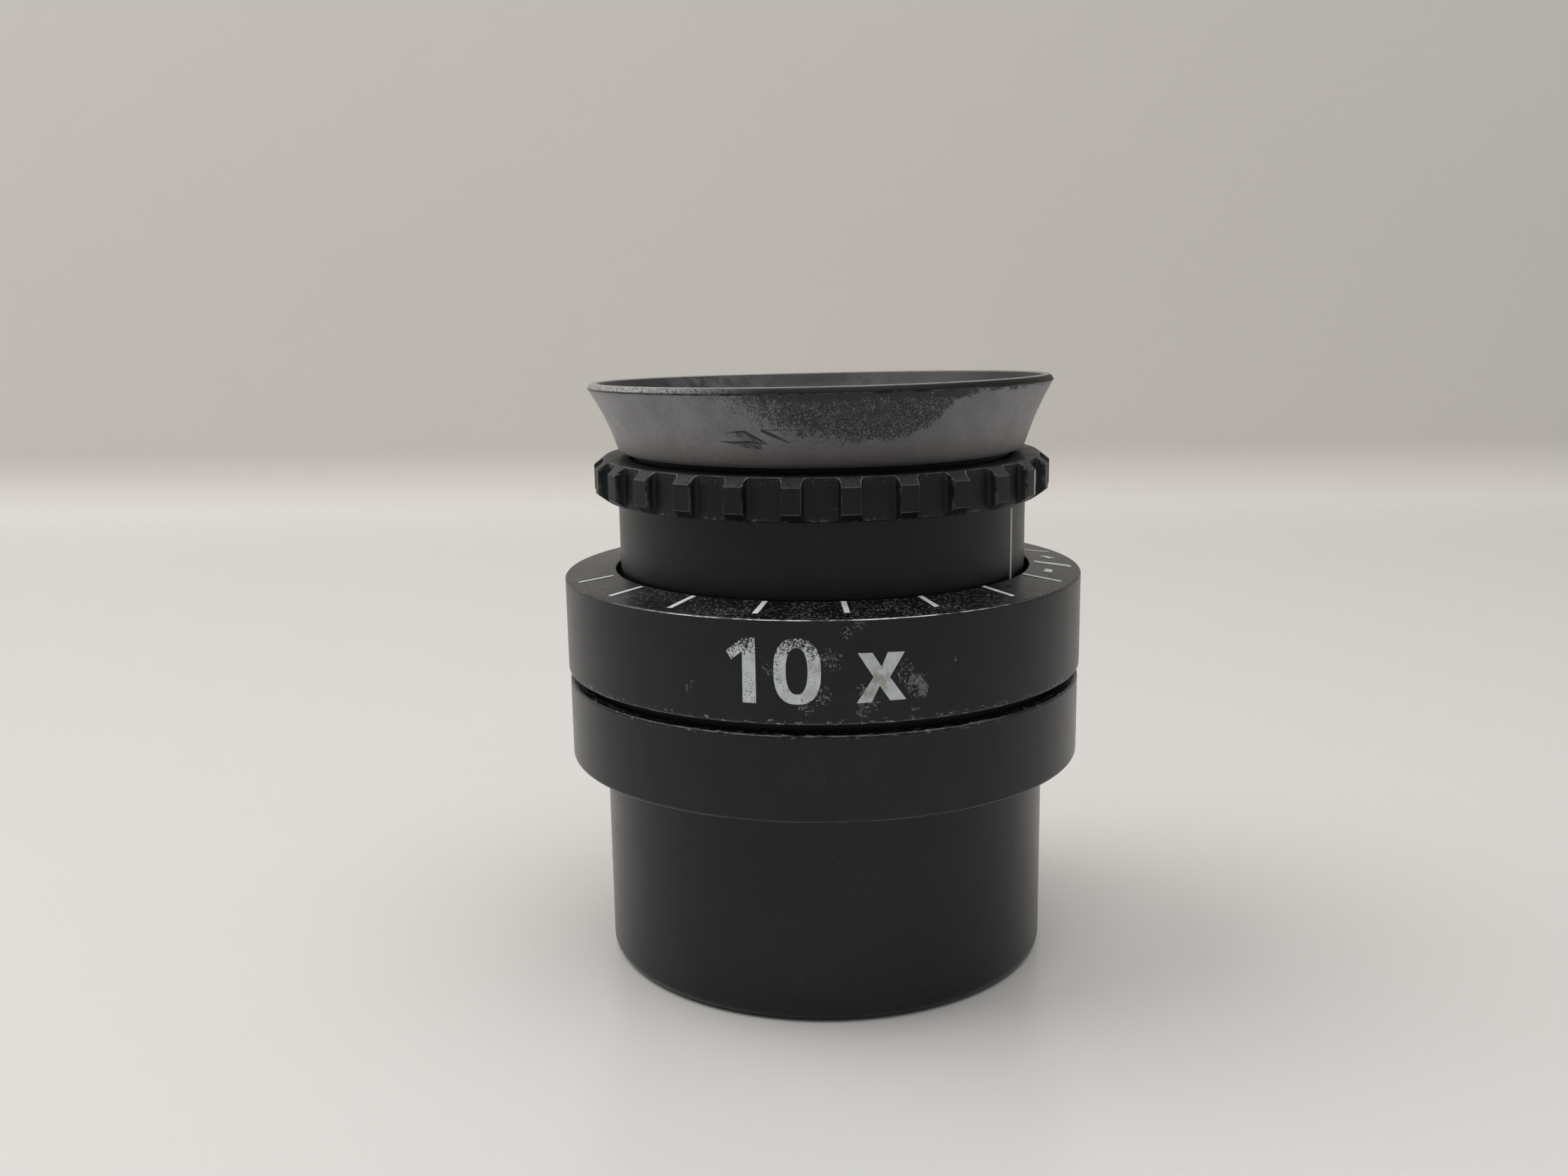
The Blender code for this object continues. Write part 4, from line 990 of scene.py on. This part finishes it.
# ------------------------------------------------------------------- markings
def wrapped_polygon(name, polys, place, thick=0.012, step=0.25):
    """Flat outlines in (s, t) mm, sliced into narrow strips, thickened and laid on a surface.
    place(s, t, h) gives the point at a height h above the surface."""
    bm = bmesh.new()
    for poly in polys:
        vs = [bm.verts.new((s, t, 0)) for s, t in poly]
        bm.faces.new(vs)
    lo = min(v.co.x for v in bm.verts)
    hi = max(v.co.x for v in bm.verts)
    k = lo + step
    while k < hi - 1e-6:
        bmesh.ops.bisect_plane(bm, geom=bm.verts[:] + bm.edges[:] + bm.faces[:], dist=1e-7,
                               plane_co=(k, 0, 0), plane_no=(1, 0, 0))
        k += step
    bmesh.ops.triangulate(bm, faces=[f for f in bm.faces if len(f.verts) > 4])
    base = bm.faces[:]
    ext = bmesh.ops.extrude_face_region(bm, geom=base, use_keep_orig=True)
    for v in [g for g in ext["geom"] if isinstance(g, bmesh.types.BMVert)]:
        v.co.z = thick
    bmesh.ops.recalc_face_normals(bm, faces=bm.faces)
    for v in bm.verts:
        v.co = Vector(place(v.co.x, v.co.y, v.co.z)) * MM
    bmesh.ops.recalc_face_normals(bm, faces=bm.faces)
    me = bpy.data.meshes.new(name)
    bm.to_mesh(me)
    bm.free()
    ob = bpy.data.objects.new(name, me)
    bpy.context.scene.collection.objects.link(ob)
    return ob


def on_ring(s, t, h):
    """s is the arc from the front on the ring's side, t the height."""
    a = s / RING_R
    r = RING_R * 1.0 + 0.004 + h
    return (r * sin(a), -r * cos(a), t)


def on_cone(az_front):
    slope = (CONE[1][1] - CONE[0][1]) / (CONE[1][0] - CONE[0][0])

    def place(s, t, h):
        """s across the tick, t its radius."""
        a = radians(az_front)
        x, y = t * sin(a) + s * cos(a), -t * cos(a) + s * sin(a)
        r = sqrt(x * x + y * y)
        return (x, y, CONE[0][1] + slope * (r - CONE[0][0]) + 0.004 + h)
    return place


def ragged(points, amount, seed):
    rnd = random.Random(seed)
    return [(x + rnd.uniform(-amount, amount), y + rnd.uniform(-amount, amount)) for x, y in points]


# scale: from -8 on the left, through 0, to +5 round the back; measured azimuths from the front
TICK_R = {-8: (16.88, 19.55), -7: (16.68, 19.44), -6: (16.63, 19.48), -5: (16.58, 19.15), -4: (16.50, 18.93), -3: (16.45, 18.90),
          -2: (16.45, 19.19), -1: (16.57, 19.51), 0: (16.76, 19.61)}
TICK_AZ = {-8: -70.8, -7: -52.3, -6: -33.1, -5: -13.8, -4: 5.1, -3: 24.6, -2: 44.9, -1: 65.5, 0: 84.7}
for k in range(1, 6):
    TICK_AZ[k] = 84.7 + 19.4 * k


def tick(w, r0, r1, seed):
    rnd = random.Random(seed)
    m = 7
    L = [(-w / 2 + rnd.uniform(-0.02, 0.02), r0 + (r1 - r0) * i / m) for i in range(m + 1)]
    R = [(w / 2 + rnd.uniform(-0.02, 0.02), r0 + (r1 - r0) * i / m) for i in range(m + 1)]
    R[0], R[-1] = (w / 2, r0 + rnd.uniform(-0.05, 0.03)), (w / 2, r1 + rnd.uniform(-0.12, 0.05))
    return R + L[::-1]


parts = []
for d, az in TICK_AZ.items():
    w = 0.80 if d == 0 else 0.40
    r0, r1 = TICK_R.get(d, (16.62, 19.35))
    parts.append(wrapped_polygon("tick", [tick(w, r0, r1, 100 + d)], on_cone(az)))
mid = (TICK_AZ[-1] + TICK_AZ[0]) / 2
parts.append(wrapped_polygon("minus", [ragged([(-0.62, 17.66), (0.62, 17.66), (0.62, 18.22), (-0.62, 18.22)], 0.02, 7)], on_cone(74.6)))
plus = [(-0.55, 17.98), (-0.2, 17.98), (-0.2, 17.65), (0.2, 17.65), (0.2, 17.98), (0.55, 17.98), (0.55, 18.4), (0.2, 18.4),
        (0.2, 18.75), (-0.2, 18.75), (-0.2, 18.4), (-0.55, 18.4)]
parts.append(wrapped_polygon("plus", [ragged(plus, 0.02, 8)], on_cone(94.2)))


def joined(name, obs):
    bm = bmesh.new()
    for o in obs:
        bm.from_mesh(o.data)
        bpy.data.objects.remove(o, do_unlink=True)
    me = bpy.data.meshes.new(name)
    bm.to_mesh(me)
    bm.free()
    ob = bpy.data.objects.new(name, me)
    bpy.context.scene.collection.objects.link(ob)
    return ob


dress(joined("dioptre_scale_marks", parts), "paint_ticks", "diopter", "anodised_scale")

# magnification number, plain upright digits
one = [(-6.66, 28.22), (-6.29, 27.62), (-5.52, 28.26), (-5.52, 24.66), (-4.57, 24.66), (-4.62, 29.20), (-5.42, 29.20)]


def superellipse(cx, cz, a, b, e, n=44):
    out = []
    for i in range(n):
        t = 2 * pi * i / n
        c, s = cos(t), sin(t)
        out.append((cx + a * abs(c) ** (2 / e) * (1 if c >= 0 else -1), cz + b * abs(s) ** (2 / e) * (1 if s >= 0 else -1)))
    return out


o_out = superellipse(-1.745, 26.94, 1.61, 2.29, 2.5)
o_in = superellipse(-1.775, 26.96, 0.74, 1.62, 2.3)
zero = [[o_out[i], o_out[(i + 1) % 44], o_in[(i + 1) % 44], o_in[i]] for i in range(44)]


def zero_mesh(name):
    bm = bmesh.new()
    rows = []
    for h in (0.0, 0.012):
        rows.append([[bm.verts.new(Vector(on_ring(s, t, h)) * MM) for s, t in loop] for loop in (o_out, o_in)])
    for i in range(44):
        j = (i + 1) % 44
        for k, (a, b) in enumerate(((rows[1][0], rows[1][1]), (rows[0][0], rows[0][1]))):
            bm.faces.new((a[i], a[j], b[j], b[i]))
        for loop in (0, 1):
            bm.faces.new((rows[0][loop][i], rows[0][loop][j], rows[1][loop][j], rows[1][loop][i]))
    bmesh.ops.recalc_face_normals(bm, faces=bm.faces)
    me = bpy.data.meshes.new(name)
    bm.to_mesh(me)
    bm.free()
    ob = bpy.data.objects.new(name, me)
    bpy.context.scene.collection.objects.link(ob)
    return ob


number = joined("magnification_number", [wrapped_polygon("one", [ragged(one, 0.02, 3)], on_ring), zero_mesh("zero")])
dress(number, "paint_number", "diopter", "anodised_scale")
times = [(2.33, 28.15), (3.33, 28.12), (3.96, 27.12), (4.42, 28.14), (5.56, 28.10), (4.52, 26.42), (5.69, 24.80), (4.55, 24.78),
         (3.86, 25.86), (3.28, 24.70), (2.24, 24.72), (3.40, 26.48)]
dress(wrapped_polygon("magnification_times", [ragged(times, 0.025, 5)], on_ring), "paint_times", "diopter", "anodised_scale")

# dried smudge at the right of the number
fig = [(5.72, 25.85), (6.1, 26.42), (6.35, 26.55), (6.8, 26.22), (7.3, 25.55), (7.25, 24.95), (6.95, 24.75), (6.55, 24.98),
       (6.62, 25.55), (6.45, 25.72), (6.1, 25.72)]
dress(wrapped_polygon("dried_smudge", [ragged(fig, 0.05, 9)], on_ring, thick=0.006), "smudge", "diopter", "anodised_scale")


# index line on the sleeve
def on_sleeve(s, t, h):
    a = radians(62.0) + s / SLEEVE_R
    r = SLEEVE_R + 0.004 + h
    return (r * sin(a), -r * cos(a), t)


rnd = random.Random(4)
zs = [23.2 + i * (36.02 - 23.2) / 30 for i in range(31)]
line = [(0.185 + rnd.uniform(-0.012, 0.012), z) for z in zs] + [(-0.185 + rnd.uniform(-0.012, 0.012), z) for z in reversed(zs)]
dress(wrapped_polygon("index_line", [line], on_sleeve), "paint_index", "ocular", "anodised_sleeve")

# carried-over CAD nodes, all inside
for node, mat in (("eyecup_guide_ring", "acetal"), ("skirt_end_ring", "hub"), ("lift_pin", "steel"),
                  ("cam_pin_1", "steel"), ("cam_pin_2", "steel")):
    me = NODES[node].data
    if len(NODES[node].material_slots):
        for s in NODES[node].material_slots:
            s.material = MAT[mat]
    else:
        me.materials.append(MAT[mat])


# ---------------------------------------------------------------------- studio
def floor_material():
    T = Tree("pale_table_and_wall")
    # the table ends some way behind the object, and the wall beyond it is greyer
    v = T.add(T.math('SUBTRACT', T.y, 236.0), T.mul(T.z, 6.0))
    wall = T.step(v, 0.0, 40.0)
    cloud = T.noise(0.006, 3.0, 0.5, seed=81)
    table = T.mix(cloud, (0.79, 0.785, 0.775), (0.81, 0.805, 0.795))
    upper = T.mix(cloud, (0.78, 0.755, 0.715), (0.81, 0.785, 0.745))
    T.out(Base_Color=T.mix(wall, table, upper), Roughness=T.add(T.mul(wall, 0.5), 0.24), Specular_IOR_Level=0.5)
    return T.mat


def studio():
    prof = [(-1400.0, 0.0), (-400.0, 0.0), (0.0, 0.0), (150.0, 0.0), (230.0, 0.0), (248.0, 0.0)]
    R = 14.0
    for k in range(1, 11):
        a = pi / 2 * k / 10
        prof.append((248.0 + R * sin(a), R - R * cos(a)))
    prof += [(262.0, 60.0), (262.0, 300.0), (262.0, 900.0)]
    verts, faces = [], []
    for x in (-1600.0, 1600.0):
        for y, z in prof:
            verts.append((x * MM, y * MM, z * MM))
    n = len(prof)
    for k in range(n - 1):
        faces.append((k, k + 1, n + k + 1, n + k))
    me = bpy.data.meshes.new("studio_floor")
    me.from_pydata(verts, [], faces)
    me.shade_smooth()
    ob = bpy.data.objects.new("studio_floor", me)
    bpy.context.scene.collection.objects.link(ob)
    me.materials.append(floor_material())


studio()

world = bpy.data.worlds.new("soft_room")
bpy.context.scene.world = world
world.use_nodes = True
wt = world.node_tree
bg = wt.nodes["Background"]
tc = wt.nodes.new("ShaderNodeTexCoord")
sep = wt.nodes.new("ShaderNodeSeparateXYZ")
wt.links.new(tc.outputs["Generated"], sep.inputs[0])
up = wt.nodes.new("ShaderNodeMapRange")
up.interpolation_type = 'SMOOTHSTEP'
up.inputs["From Min"].default_value, up.inputs["From Max"].default_value = -0.1, 0.9
wt.links.new(sep.outputs[2], up.inputs["Value"])
mixn = wt.nodes.new("ShaderNodeMix")
mixn.data_type = 'RGBA'
mixn.inputs[6].default_value = (0.46, 0.445, 0.425, 1.0)
mixn.inputs[7].default_value = (1.0, 0.985, 0.96, 1.0)
wt.links.new(up.outputs["Result"], mixn.inputs["Factor"])
side = wt.nodes.new("ShaderNodeMapRange")           # the camera's side of the room is darker
side.interpolation_type = 'SMOOTHSTEP'
side.inputs["From Min"].default_value, side.inputs["From Max"].default_value = -0.9, 0.5
side.inputs["To Min"].default_value, side.inputs["To Max"].default_value = 0.45, 1.0
wt.links.new(sep.outputs[1], side.inputs["Value"])
tone = wt.nodes.new("ShaderNodeVectorMath")
tone.operation = 'SCALE'
wt.links.new(mixn.outputs[2], tone.inputs[0])
wt.links.new(side.outputs["Result"], tone.inputs["Scale"])
wt.links.new(tone.outputs[0], bg.inputs["Color"])
bg.inputs["Strength"].default_value = 0.745


def area(name, loc, target, size, power, colour):
    d = bpy.data.lights.new(name, 'AREA')
    d.shape, d.size, d.energy, d.color = 'DISK', size, power, colour
    ob = bpy.data.objects.new(name, d)
    ob.location = loc
    ob.rotation_euler = (Vector(target) - Vector(loc)).to_track_quat('-Z', 'Y').to_euler()
    bpy.context.scene.collection.objects.link(ob)


area("softbox_left", (-0.42, 0.05, 0.60), (0, 0, 0.02), 0.60, 2.2, (1.0, 0.985, 0.96))
area("softbox_top", (0.15, -0.10, 0.75), (0, 0, 0.02), 0.60, 1.4, (1.0, 0.99, 0.98))

# --------------------------------------------------------------------- camera
PIX, F = 2212.0, 2100.0
yaw, pitch, roll = radians(-1.494), radians(11.109), radians(-0.888)
fwd = Vector((sin(yaw) * cos(pitch), cos(yaw) * cos(pitch), -sin(pitch)))
rgt = Vector((cos(yaw), -sin(yaw), 0.0))
upv = rgt.cross(fwd)
r2 = rgt * cos(roll) + upv * sin(roll)
u2 = -rgt * sin(roll) + upv * cos(roll)
cd = bpy.data.cameras.new("camera")
cam_ob = bpy.data.objects.new("camera", cd)
cd.sensor_width, cd.lens = 36.0, 36.0 * F / PIX
cd.clip_start, cd.clip_end = 0.005, 20.0
m3 = Matrix((r2, u2, -fwd)).transposed()
cam_ob.matrix_world = Matrix.Translation((0.0, -0.117105, 0.051698)) @ m3.to_4x4()
bpy.context.scene.collection.objects.link(cam_ob)
bpy.context.scene.camera = cam_ob

bpy.context.scene.view_settings.view_transform = 'Standard'
bpy.context.scene.view_settings.look = 'None'
